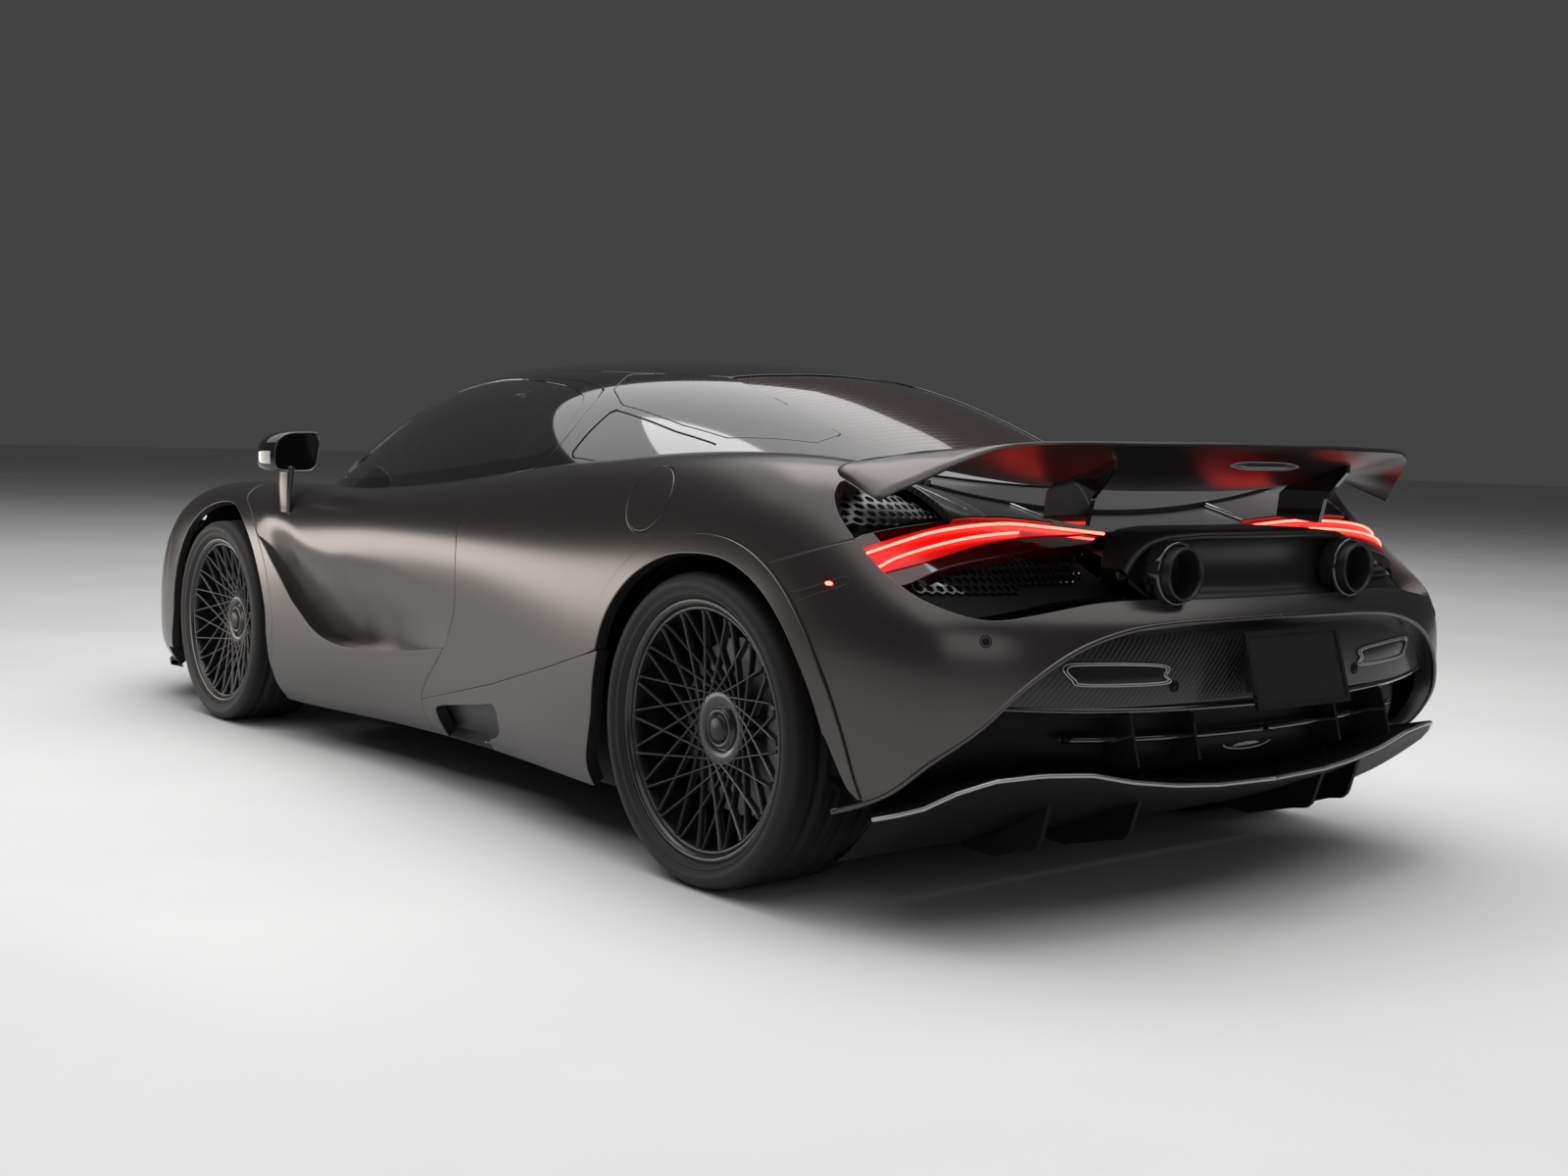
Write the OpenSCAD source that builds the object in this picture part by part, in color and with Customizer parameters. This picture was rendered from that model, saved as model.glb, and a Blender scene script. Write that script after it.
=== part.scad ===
// Two-seat mid-engined supercar, built as a set of named sub-parts.
// Drawn with y = 0 on the front axle, +x the car's left, +y rearward, z = 0 the floor;
// every node is then moved so that y = 0 is the middle of the car's length.

/* [Overall] */
// Distance between the axles
wheelbase = 2670; // [2500:2800]
// Middle of the overall length, behind the front axle
mid_y = 1253.6; // [1150:0.1:1300]
// Running gap round doors and lids
shut_gap = 6; // [5:10]

/* [Wheels] */
// Front tyre radius
front_tyre_r = 327; // [300:350]
// Rear tyre radius
rear_tyre_r = 344; // [310:360]
// Front rim flange radius
front_rim_r = 270; // [240:290]
// Rear rim flange radius
rear_rim_r = 286; // [250:300]
// Front tyre width
front_tyre_w = 245; // [205:275]
// Rear tyre width
rear_tyre_w = 305; // [265:335]
// Middle plane of the front tyres, from the centreline
front_track_x = 812; // [780:850]
// Middle plane of the rear tyres, from the centreline
rear_track_x = 798; // [760:850]
// Spoke pairs on each wheel
spoke_pairs = 20; // [5:24]
// Brake disc radius
disc_r = 195; // [160:205]
// Bore of the wheel hubs, on their stub axles
axle_r = 30; // [20:35]

/* [Doors] */
// Thickness of the side glass
glass_t = 6; // [4:8]
// Lean of the number plate
plate_tilt = 16.5; // [0:25]
// Steering wheel rim radius
steer_wheel_r = 175; // [160:200]

/* [Hidden] */
$fn = 48;
paint = [0.05, 0.047, 0.05];
weave = [0.06, 0.06, 0.063];
gloss = [0.02, 0.02, 0.02];
dark_glass = [0.1, 0.11, 0.12];
dull = [0.07, 0.07, 0.07];
metal = [0.5, 0.5, 0.51];
rubber = [0.09, 0.09, 0.09];
red = [0.6, 0.03, 0.03];
iron = [0.3, 0.3, 0.3];

// ---- smooth skins: cubic B-spline control nets, evaluated at a few points a span ----
function flip(p) = [-p[0], p[1], p[2]];
function bsp(a, b, c, d, t) = (a * pow(1 - t, 3) + b * (3 * t * t * t - 6 * t * t + 4)
  + c * (-3 * t * t * t + 3 * t * t + 3 * t + 1) + d * pow(t, 3)) / 6;
// one line of control points, n points a span; m0 and m1 mirror that end across x = 0
function refine(c, n, m0, m1) = let (L = len(c),
  e = concat([m0 ? flip(c[1]) : 2 * c[0] - c[1]], c,
             [m1 ? flip(c[L - 2]) : 2 * c[L - 1] - c[L - 2]]))
  [for (i = [0:L - 2]) for (k = [0:(i == L - 2 ? n : n - 1)])
    bsp(e[i], e[i + 1], e[i + 2], e[i + 3], k / n)];
function turned(g) = [for (j = [0:len(g[0]) - 1]) [for (r = g) r[j]]];
function spread(net, nr, nc) = turned([for (c = turned([for (r = net) refine(r, nc, true, true)]))
  refine(c, nr, false, true)]);
function unit(v) = norm(v) < 1e-6 ? [0, 0, 0] : v / norm(v);
function net_at(g, i, j) = let (I = len(g) - 1, J = len(g[0]) - 1)
  i < 0 ? 2 * g[0][j] - g[1][j] : i > I ? flip(g[I - 1][j])
  : j < 0 ? flip(g[i][1]) : j > J ? flip(g[i][J - 1]) : g[i][j];
// net moved inward by t along its own normals
function inset(g, t) = let (I = len(g) - 1, J = len(g[0]) - 1)
  [for (i = [0:I]) [for (j = [0:J]) let (
    u = net_at(g, i + 1, j) - net_at(g, i - 1, j), v = net_at(g, i, j + 1) - net_at(g, i, j - 1),
    n0 = unit(cross(v, u)), mid = (i == I || j == 0 || j == J),
    n = (i == I && (j == 0 || j == J)) ? [0, 0, 1] : unit([mid ? 0 : n0[0], n0[1], n0[2]]),
    q = g[i][j] - t * n) [mid ? 0 : max(1, q[0]), q[1], q[2]]]];
// closed solid of the left half grid s and its mirror image
module skin(s) {
  I = len(s) - 1; J = len(s[0]) - 1; nl = (I + 1) * (J + 1);
  function lf(i, j) = i * (J + 1) + j;
  function rt(i, j) = (i == I || j == 0 || j == J) ? lf(i, j) : nl + i * (J - 1) + j - 1;
  pts = concat([for (r = s) for (p = r) p],
               [for (i = [0:I - 1]) for (j = [1:J - 1]) flip(s[i][j])]);
  faces = concat(
    [for (i = [0:I - 1]) for (j = [0:J - 1]) [lf(i, j), lf(i + 1, j), lf(i + 1, j + 1)]],
    [for (i = [0:I - 1]) for (j = [0:J - 1]) [lf(i, j), lf(i + 1, j + 1), lf(i, j + 1)]],
    [for (i = [0:I - 1]) for (j = [0:J - 1]) [rt(i, j), rt(i + 1, j + 1), rt(i + 1, j)]],
    [for (i = [0:I - 1]) for (j = [0:J - 1]) [rt(i, j), rt(i, j + 1), rt(i + 1, j + 1)]],
    [for (j = [0:J - 2]) [lf(0, j), lf(0, j + 1), rt(0, j + 1)]],
    [for (j = [1:J - 1]) [lf(0, j), rt(0, j + 1), rt(0, j)]]);
  polyhedron(points = pts, faces = faces, convexity = 8);
}

// ---- lower body: rings run from the sill up to the middle of the deck, columns from the
// ---- nose round the side to the tail
side_y = [-1045, -1015, -900, -680, -380, -40, 300, 640, 1000, 1400, 1800, 2180, 2520, 2850,
  3140, 3370, 3485, 3510];
side_x = [0, 390, 740, 890, 932, 938, 930, 918, 912, 918, 938, 958, 968, 968, 945, 850, 470, 0];
function ring(dx, dy, z) = [for (i = [0:17])
  [side_x[i] == 0 ? 0 : max(0, side_x[i] - dx[i]), side_y[i] + dy[i], z[i]]];
flat = [for (i = [0:17]) 0];
body_net = [
  // underside edge
  ring([0, 60, 70, 60, 45, 40, 45, 60, 80, 85, 70, 50, 45, 45, 60, 80, 60, 0],
    [30, 25, 20, 10, 0, 0, 0, 0, 0, 0, 0, 0, 0, 0, -10, -30, -40, -40],
    [120, 120, 120, 120, 120, 120, 120, 120, 130, 140, 150, 150, 150, 160, 200, 240, 260, 260]),
  // sill
  ring([0, 20, 20, 10, 0, 0, 0, 10, 30, 35, 25, 8, 5, 5, 15, 20, 10, 0], flat,
    [180, 180, 180, 180, 180, 180, 180, 180, 190, 200, 210, 215, 215, 230, 270, 310, 330, 330]),
  // low side
  ring([0, 10, 10, 5, 0, 0, 0, 5, 20, 30, 20, 0, 0, 0, 5, 10, 0, 0],
    [-5, -5, 0, 0, 0, 0, 0, 0, 0, 0, 0, 0, 0, 0, 0, 0, 0, 0],
    [270, 270, 270, 270, 290, 300, 290, 280, 280, 290, 300, 310, 320, 340, 370, 400, 410, 410]),
  // middle of the side
  ring([0, 15, 10, 5, 0, 0, 0, 10, 25, 28, 15, 0, 0, 0, 0, 0, 0, 0], flat,
    [360, 370, 380, 400, 430, 440, 430, 420, 420, 430, 440, 450, 460, 480, 500, 520, 530, 530]),
  // widest line
  ring([0, 40, 25, 15, 8, 8, 5, 5, 8, 8, 5, 0, 0, 0, 0, 5, 10, 0],
    [30, 30, 20, 10, 0, 0, 0, 0, 0, 0, 0, 0, 0, 0, -5, -10, -15, -20],
    [430, 445, 470, 510, 560, 580, 570, 560, 560, 570, 580, 590, 600, 610, 625, 630, 630, 630]),
  // flank
  ring([0, 60, 60, 40, 30, 32, 22, 12, 5, 5, 10, 15, 15, 20, 30, 60, 60, 0],
    [90, 90, 70, 40, 0, 0, 0, 0, 0, 0, 0, 0, 0, 0, -20, -60, -80, -90],
    [490, 505, 545, 610, 680, 710, 695, 680, 690, 700, 715, 730, 745, 745, 740, 710, 690, 690]),
  // shoulder
  ring([0, 100, 130, 110, 95, 100, 85, 60, 50, 60, 75, 80, 70, 65, 80, 120, 100, 0],
    [190, 180, 140, 80, 10, 0, 0, 0, 0, 0, 0, 0, 0, 0, -60, -130, -190, -200],
    [535, 555, 610, 690, 755, 782, 780, 770, 785, 810, 845, 870, 885, 880, 850, 790, 760, 755]),
  // crown of the wings
  ring([0, 150, 220, 230, 235, 240, 240, 200, 150, 130, 130, 130, 125, 125, 150, 200, 150, 0],
    [330, 310, 250, 140, 20, 0, 0, 0, 0, 0, 0, 0, 0, 0, -100, -220, -320, -340],
    [585, 600, 640, 710, 775, 795, 795, 795, 815, 845, 890, 925, 948, 955, 935, 860, 810, 800]),
  // inner side of the wings
  ring([0, 210, 390, 420, 425, 430, 430, 350, 300, 280, 300, 300, 270, 250, 280, 330, 230, 0],
    [500, 470, 370, 210, 30, 0, 0, 0, 0, 0, 0, 0, 0, 0, -160, -330, -480, -500],
    [620, 630, 655, 690, 725, 745, 760, 790, 820, 850, 895, 925, 940, 940, 920, 870, 840, 830]),
  // deck
  ring([0, 300, 560, 640, 660, 660, 660, 600, 560, 560, 560, 560, 540, 520, 540, 560, 360, 0],
    [700, 670, 565, 385, 180, 20, 0, 0, 0, 0, 0, 0, 0, -150, -370, -570, -673, -695],
    [662, 663, 666, 675, 695, 724, 760, 800, 830, 850, 890, 910, 910, 905, 898, 890, 884, 882]),
  // middle line
  ring(side_x, [900, 875, 770, 575, 330, 40, 0, 0, 0, 0, 0, 0, 0, -310, -585, -798, -901, -920],
    [690, 691, 694, 700, 712, 726, 762, 802, 830, 850, 885, 900, 896, 895, 894, 893, 892, 891])];

// ---- cabin bubble: hoops from below the belt line up to the roof, columns from the foot of
// ---- the windscreen round the side window to the foot of the rear screen
function hoop(x, y, z) = [for (i = [0:9]) [x[i], y[i], z[i]]];
cab_net = [
  hoop([0, 330, 640, 780, 825, 835, 815, 735, 500, 0],
    [-190, -150, 20, 380, 860, 1380, 1900, 2400, 2800, 2900],
    [640, 640, 650, 680, 700, 720, 760, 800, 830, 840]),
  hoop([0, 320, 620, 755, 800, 806, 780, 690, 450, 0],
    [-40, 0, 150, 470, 900, 1390, 1880, 2330, 2690, 2780],
    [740, 740, 750, 790, 815, 835, 860, 885, 895, 900]),
  hoop([0, 305, 585, 715, 760, 765, 735, 630, 400, 0],
    [150, 185, 320, 590, 960, 1400, 1850, 2250, 2560, 2640],
    [850, 852, 862, 890, 910, 925, 940, 950, 950, 950]),
  hoop([0, 285, 535, 655, 700, 703, 672, 570, 360, 0],
    [360, 390, 500, 710, 1020, 1410, 1810, 2160, 2430, 2490],
    [960, 962, 968, 985, 1000, 1010, 1012, 1010, 1006, 1005]),
  hoop([0, 260, 480, 585, 625, 628, 600, 510, 320, 0],
    [570, 595, 680, 840, 1090, 1420, 1760, 2060, 2280, 2330],
    [1060, 1060, 1058, 1066, 1076, 1080, 1076, 1066, 1060, 1060]),
  hoop([0, 230, 415, 500, 530, 530, 505, 430, 270, 0],
    [770, 790, 850, 960, 1160, 1430, 1700, 1930, 2100, 2140],
    [1132, 1129, 1124, 1124, 1130, 1132, 1128, 1121, 1118, 1118]),
  hoop([0, 180, 310, 370, 390, 390, 370, 310, 190, 0],
    [960, 970, 1010, 1090, 1230, 1430, 1620, 1780, 1890, 1920],
    [1178, 1175, 1170, 1168, 1170, 1170, 1167, 1163, 1162, 1163]),
  hoop([0, 90, 150, 180, 190, 190, 180, 150, 90, 0],
    [1130, 1135, 1155, 1200, 1290, 1430, 1540, 1620, 1680, 1695],
    [1197, 1197, 1196, 1194, 1193, 1191, 1189, 1187, 1187, 1188]),
  hoop([0, 0, 0, 0, 0, 0, 0, 0, 0, 0],
    [1230, 1235, 1250, 1280, 1330, 1400, 1460, 1500, 1525, 1535],
    [1201, 1201, 1201, 1200, 1200, 1199, 1198, 1196, 1195, 1194])];

module body_skin(t, nr = 1, nc = 2) {
  skin(spread(t == 0 ? body_net : inset(body_net, t), nr, nc)); }
module cab_skin(t, nr = 1, nc = 2) {
  skin(spread(t == 0 ? cab_net : inset(cab_net, t), nr, nc)); }
module outer_body() { body_skin(0, 2, 3); }
module outer_cab() { cab_skin(0, 2, 3); }

// ---- cutting prisms: outlines seen from the side (y, z), from above (x, y), from behind (x, z)
module from_side(pts, x0, x1) { translate([x0, 0, 0]) rotate([90, 0, 90])
  linear_extrude(x1 - x0) polygon(pts); }
module from_top(pts, z0 = 0, z1 = 1400) { translate([0, 0, z0]) linear_extrude(z1 - z0)
  polygon(pts); }
module from_behind(pts, y0, y1) { translate([0, y1, 0]) rotate([90, 0, 0])
  linear_extrude(y1 - y0) polygon(pts); }
module block(a, b) { translate(a) cube(b - a); }
module both() { children(); mirror([1, 0, 0]) children(); }
module placed() { translate([0, -mid_y, 0]) children(); }
module meshed() { resize([0, 0, 0]) children(); }
function mirrored_x(pts) = concat(pts, [for (i = [len(pts) - 1:-1:0]) [-pts[i][0], pts[i][1]]]);
// outline moved out by d along its own normals (points given anticlockwise)
function grown(p, d) = let (n = len(p)) [for (i = [0:n - 1]) let (
  a = p[(i + n - 1) % n], b = p[i], c = p[(i + 1) % n], u = unit(b - a), v = unit(c - b),
  m = unit([u[1] + v[1], -u[0] - v[0]])) b + m * d / max(0.6, m * [u[1], -u[0]])];

// ---- outlines ----
door_line = [[396, 90], [1290, 90], [1343, 254], [1469, 381], [1550, 481],
  [1573, 560], [1575, 663], [1560, 738], [1600, 800], [1640, 850], [1745, 893], [1772, 960],
  [1765, 1010], [1728, 1085], [1600, 1118], [1489, 1134], [1300, 1150], [1130, 1150],
  [1000, 1136], [890, 1106], [770, 1022], [620, 916], [480, 840], [330, 812], [97, 812],
  [97, 752], [110, 742], [202, 698], [290, 628], [352, 560], [398, 470], [424, 380],
  [428, 300], [420, 220]];
window_line = [[520, 812], [1100, 846], [1590, 898], [1725, 922], [1748, 960], [1738, 1010],
  [1700, 1062], [1600, 1092], [1489, 1106], [1300, 1120], [1140, 1120], [1010, 1104],
  [910, 1076], [785, 992], [640, 890]];
front_arch = [[-400, 0], [385, 0], [385, 330], [365, 430], [320, 520], [255, 600], [165, 665],
  [60, 710], [-50, 715], [-170, 690], [-270, 630], [-340, 545], [-385, 440], [-400, 330]];
rear_arch = [[2285, 0], [3140, 0], [3135, 200], [3125, 300], [3095, 405], [3050, 505],
  [2980, 605], [2890, 678], [2780, 720], [2660, 726], [2550, 708], [2435, 650], [2350, 560],
  [2306, 450], [2290, 330]];
hood_line = mirrored_x([[0, -905], [250, -890], [430, -820], [540, -700], [590, -540],
  [612, -380], [610, -260], [560, -190], [300, -215], [0, -235]]);
screen_line = mirrored_x([[0, -400], [400, -400], [600, -100], [668, 220], [640, 430],
  [545, 640], [440, 810], [330, 900], [0, 925]]);
roof_line = mirrored_x([[0, 930], [332, 905], [425, 905], [450, 1130], [470, 1420], [450, 1700],
  [330, 1960], [0, 1975]]);
back_line = mirrored_x([[0, 1980], [328, 1966], [345, 2180], [345, 2440], [310, 2540], [0, 2600]]);
// edge of the tail recess, seen from behind
recess_line = mirrored_x([[0, 668], [250, 668], [346, 671], [503, 667], [649, 648], [731, 637],
  [787, 644], [841, 673], [868, 719], [875, 771], [870, 830], [845, 880], [800, 905], [560, 1000],
  [0, 1000]]);
// lower edge of the tail's outer panel
tail_edge = mirrored_x([[0, 628], [185, 627], [464, 613], [587, 579], [692, 516], [776, 432],
  [843, 362], [880, 290], [905, 240], [960, 0], [0, 0]]);

buttress_line = [[334, 1962], [470, 1700], [560, 1760], [600, 1860], [586, 2110],
  [560, 2260], [430, 2440], [350, 2440], [350, 2180]];
quarter_line = [[740, 1835], [730, 1950], [690, 2120], [640, 2250], [588, 2256], [608, 2110],
  [618, 1850]];
module wheel_wells(g = 0) {
  both() {
    from_side(grown(front_arch, g), 520 - g, 1100);
    from_side(grown(rear_arch, g), 610 - g, 1100);
  }
}
// closed cabin space, as wide as the inner faces of the doors
cabin_plan = mirrored_x([[0, -20], [380, 0], [520, 330], [700, 470], [740, 900], [740, 1350],
  [690, 1640], [0, 1660]]);
module cabin_space() {
  intersection() {
    union() { body_skin(45); cab_skin(30); }
    from_top(cabin_plan, 175, 1400);
  }
}

// ---- structure ----
module tub() color(weave) {
  difference() {
    union() {
      // floor, sills and bulkheads
      block([-512, -470, 126], [512, 420, 160]);
      block([-700, 400, 126], [700, 2280, 160]);
      block([-600, 2270, 140], [600, 3050, 170]);
      both() block([600, 430, 126], [800, 2270, 330]);
      block([-512, -60, 140], [512, -10, 600]);
      block([-740, 1670, 140], [740, 1720, 830]);
      both() block([480, -470, 140], [512, 326, 600]);
      block([-512, -500, 140], [512, -470, 430]);
      both() block([560, 2250, 140], [600, 3050, 560]);
      block([-600, 3020, 160], [600, 3050, 520]);
    }
    wheel_wells(6);
    from_side(grown(door_line, shut_gap), 775, 1100);
    from_side(grown(door_line, shut_gap), -1100, -775);
  }
}
// cowl, windscreen pillars, header and roof rails
module cage() color(weave) {
  meshed() difference() {
    union() {
      intersection() {
        difference() { outer_body(); body_skin(28); outer_cab(); }
        difference() {
          block([-541, -205, 500], [541, 420, 1000]);
          from_top(grown(hood_line, shut_gap), 0, 1000);
        }
      }
      intersection() {
        difference() { outer_cab(); cab_skin(34); }
        difference() {
          from_top(mirrored_x([[0, 400], [760, 100], [760, 1750], [0, 1750]]), 790, 1400);
          from_top(grown(screen_line, 3), 0, 1400);
          from_top(grown(roof_line, 3), 0, 1400);
          both() from_top(grown(buttress_line, 1));
          both() from_top(grown(quarter_line, 1));
        }
      }
    }
    wheel_wells(6);
    from_side(grown(door_line, shut_gap + 9), 380, 1100);
    from_side(grown(door_line, shut_gap + 9), -1100, -380);
  }
}
// posts, pillar tubes, header, spine and the hoop behind the seats, under the cage
module roll_frame() color(weave) {
  meshed() difference() {
    union() {
      intersection() {
        cab_skin(34);
        union() {
          difference() {
            union() {
              both() from_top([[600, 440], [664, 440], [640, 560], [560, 700], [448, 880],
                [448, 955], [380, 955], [380, 880], [500, 690], [585, 560]], 600, 1400);
              block([-440, 885, 1000], [440, 950, 1300]);
              block([-70, 900, 1000], [70, 1720, 1300]);
            }
            cab_skin(54);
          }
          difference() {
            block([-760, 1705, 830], [760, 1756, 1200]);
            from_behind([[-600, 870], [600, 870], [440, 1085], [-440, 1085]], 1600, 1800);
          }
          both() block([616, 444, 700], [668, 484, 960]);
        }
      }
      both() block([616, 444, 330], [668, 484, 720]);
      // walls that carry the cowl
      intersection() {
        difference() { body_skin(28); outer_cab(); }
        both() block([484, -178, 600], [512, 330, 800]);
      }
    }
    from_side(grown(door_line, shut_gap + 6), 690, 1100);
    from_side(grown(door_line, shut_gap + 6), -1100, -690);
    both() intersection() {
      from_side(grown(door_line, shut_gap + 9), 380, 1100);
      difference() { outer_cab(); cab_skin(42); }
    }
  }
}

module front_bumper() color(paint) {
  meshed() difference() {
    intersection() { outer_body(); block([-1000, -1200, 60], [1000, -500, 900]); }
    body_skin(32);
    from_top(grown(hood_line, shut_gap), 400, 1000);
    wheel_wells();
    lamp_pockets(1);
    translate([-340, -1200, 310]) rotate([-90, 0, 0]) cylinder(r = 20, h = 400);
  }
}
lamp_plan = [[560, -905], [700, -850], [800, -760], [850, -640], [838, -560], [760, -600],
  [680, -680], [600, -790]];
module lamp_pockets(g) { both() from_top(grown(lamp_plan, g), 430, 800); }
module head_lamps() color(gloss) {
  both() meshed() intersection() {
    difference() { body_skin(8, 2, 2); body_skin(60); }
    from_top(lamp_plan, 430, 800);
  }
}
module fenders() color(paint) {
  both() meshed() difference() {
    intersection() { outer_body(); block([545, -498, 100], [1000, 500, 900]); }
    body_skin(28);
    from_top(grown(hood_line, shut_gap), 0, 1000);
    outer_cab();
    from_side(grown(door_line, shut_gap), 0, 1100);
    wheel_wells();
    from_side([[-400, 0], [500, 0], [500, 330], [-400, 330]], 0, 1100);
  }
}
module hood() color(paint) {
  meshed() intersection() {
    difference() { outer_body(); body_skin(24); }
    from_top(hood_line, 0, 1000);
    block([-1000, -1000, 560], [1000, 0, 1000]);
  }
}

// ---- fixed glass and roof ----
module cab_piece(line, outer, inner) {
  meshed() intersection() {
    difference() {
      cab_skin(outer, 2, 2);
      cab_skin(inner, 1, 2);
      body_skin(0, 1, 2);
      both() from_side(grown(door_line, shut_gap), 380, 1100);
    }
    from_top(line, 600, 1400);
  }
}
module windscreen() color(dark_glass) { cab_piece(grown(screen_line, -1), 2, 10); }
module roof_panel() color(gloss) { cab_piece(grown(roof_line, -1), 1, 26); }
module rear_screen() color(dark_glass) { cab_piece(grown(back_line, -1), 2, 10); }
module buttress_panels() color(gloss) {
  both() cab_piece(buttress_line, 2, 14);
}
module quarter_glasses() color(dark_glass) {
  both() cab_piece(quarter_line, 3, 10);
}

// ---- rear body ----
module rear_quarters() color(paint) {
  both() meshed() difference() {
    intersection() {
      outer_body();
      block([345, 1300, 100], [1000, 3200, 1000]);
      from_side([[1200, 230], [1338, 236], [1762, 331], [2092, 416], [2300, 476], [2600, 600],
        [2887, 712], [3096, 780], [3200, 820], [3200, 1000], [1200, 1000]], 0, 1100);
    }
    body_skin(28);
    outer_cab();
    from_side(grown(door_line, shut_gap), 0, 1100);
    from_top([[0, 2300], [420, 2450], [480, 2700], [560, 2900], [600, 3300], [0, 3300]]);
    from_behind(recess_line, 3000, 3300);
    wheel_wells();
    block([345, 1300, 0], [600, 1740, 1000]);
  }
}
module engine_cover() color(weave) {
  meshed() intersection() {
    difference() { body_skin(6, 2, 2); body_skin(30); outer_cab(); }
    from_top(mirrored_x([[0, 2750], [330, 2715], [463, 2705], [540, 2900],
      [565, 2990], [0, 2990]]), 600, 1000);
  }
}
module rear_bumper() color(paint) {
  meshed() difference() {
    intersection() {
      outer_body();
      block([-1000, 2800, 100], [1000, 3600, 900]);
      from_side([[2750, 90], [3600, 90], [3600, 950], [3202, 950], [3200, 818], [3096, 778],
        [2887, 710], [2750, 660]], -1000, 1000);
    }
    body_skin(32);
    from_behind(recess_line, 3000, 3700);
    from_behind(tail_edge, 3000, 3700);
    wheel_wells();
    block([-620, 2700, 0], [620, 3100, 1000]);
    tip_holes();
  }
}
module tail_panel() color(dull) {
  meshed() difference() {
    intersection() { body_skin(58, 2, 2); from_behind(recess_line, 2995, 3700); }
    body_skin(84);
    tip_holes();
  }
}
module tail_lamps() color(red) {
  both() meshed() difference() {
    intersection() {
      body_skin(26, 2, 2);
      from_behind([[858, 760], [820, 792], [728, 811], [622, 820], [495, 821], [374, 812],
        [263, 801], [180, 789], [300, 778], [500, 784], [650, 778], [760, 756], [835, 712]],
        2995, 3700);
    }
    body_skin(57, 2, 2);
  }
}
module rear_lower_panel() color(weave) {
  meshed() difference() {
    intersection() { body_skin(40, 2, 2); from_behind(tail_edge, 3100, 3700);
      block([-1000, 3100, 330], [1000, 3700, 700]); }
    body_skin(62);
  }
}
module diffuser() color(weave) {
  meshed() union() {
    intersection() {
      difference() { body_skin(20, 2, 2); body_skin(200); }
      block([-860, 3130, 215], [860, 3700, 300]);
    }
    for (x = [-420, -250, 250, 420]) translate([x, 0, 0]) from_side([[3100, 130], [3400, 150],
      [3440, 260], [3100, 260]], -6, 6);
  }
}
module wing() color(paint) {
  meshed() union() {
    difference() {
      intersection() {
        from_side([[3080, 930], [3200, 958], [3330, 976], [3420, 990], [3424, 978], [3330, 955],
          [3200, 935], [3080, 912]], -880, 880);
        from_top(mirrored_x([[0, 3120], [600, 3090], [880, 3040], [880, 3420], [0, 3430]]));
      }
    }
    both() from_side([[3090, 900], [3080, 935], [3200, 962], [3410, 985], [3400, 900],
      [3250, 850], [3150, 840]], 868, 880);
    both() from_side([[3140, 800], [3260, 800], [3280, 945], [3180, 940]], 230, 242);
  }
}
// blank plate on its carrier, with two screw holes
module number_plate() color(gloss) {
  translate([0, 3518.5, 525]) rotate([plate_tilt, 0, 0]) difference() {
    union() {
      block([-160, -4, -82], [160, 4, 82]);
      block([-130, -40, -40], [130, -4, 72]);
    }
    for (x = [-89, 89]) translate([x, 5, 62]) rotate([90, 0, 0]) cylinder(r = 3, h = 21);
  }
}
// crash beam behind the front bumper, with the threaded socket for a towing eye
module front_beam() color(metal) {
  difference() {
    union() {
      block([-460, -940, 260], [460, -890, 360]);
      both() block([380, -890, 270], [440, -500, 350]);
      translate([-340, -1006, 310]) rotate([-90, 0, 0]) cylinder(r = 15, h = 90);
    }
    translate([-340, -1007, 310]) rotate([-90, 0, 0]) cylinder(r = 8, h = 71);
  }
}
module tip_holes() { both() translate([298, 3200, 723]) rotate([-90, 0, 0]) cylinder(r = 58, h = 400); }
module exhaust_tips() color(dull) {
  both() translate([298, 0, 723]) rotate([-90, 0, 0]) difference() {
    translate([0, 0, 3260]) cylinder(r = 56, h = 208);
    translate([0, 0, 3270]) cylinder(r = 51, h = 220);
  }
}
module engine() color(metal) { block([-300, 1780, 190], [300, 2620, 760]); }

// ---- cabin ----
module seats() color(dull) {
  both() translate([360, 0, 0]) meshed() difference() {
    union() {
      from_side([[760, 190], [1340, 190], [1500, 700], [1540, 930], [1460, 960], [1380, 820],
        [1250, 420], [800, 350]], -230, 230);
    }
    from_side([[740, 345], [1230, 345], [1345, 700], [1380, 860], [1300, 1000], [740, 1000]],
      -150, 150);
  }
}
module dashboard() color(dull) {
  from_side([[330, 560], [560, 560], [600, 640], [560, 740], [420, 770], [330, 740]], -555, 555);
}
module steering_wheel() color(dull) {
  translate([370, 640, 740]) rotate([-68, 0, 0]) {
    rotate_extrude() translate([steer_wheel_r, 0]) circle(r = 16, $fn = 24);
    translate([0, 0, -60]) cylinder(r = 28, h = 70);
    for (a = [0, 90, 180]) rotate([0, 0, a]) translate([20, -14, -8]) cube([145, 28, 14]);
  }
}
module side_skirts() color(paint) {
  both() meshed() difference() {
    intersection() {
      outer_body();
      block([560, 1296, 60], [1000, 2330, 620]);
      from_side([[1296, 110], [1320, 228], [1762, 327], [2092, 412], [2300, 470], [2330, 100]],
        0, 1100);
    }
    body_skin(40);
    from_side(grown(door_line, shut_gap), 0, 1100);
    wheel_wells();
    block([500, 1200, 0], [806, 2400, 340]);
  }
}

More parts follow.
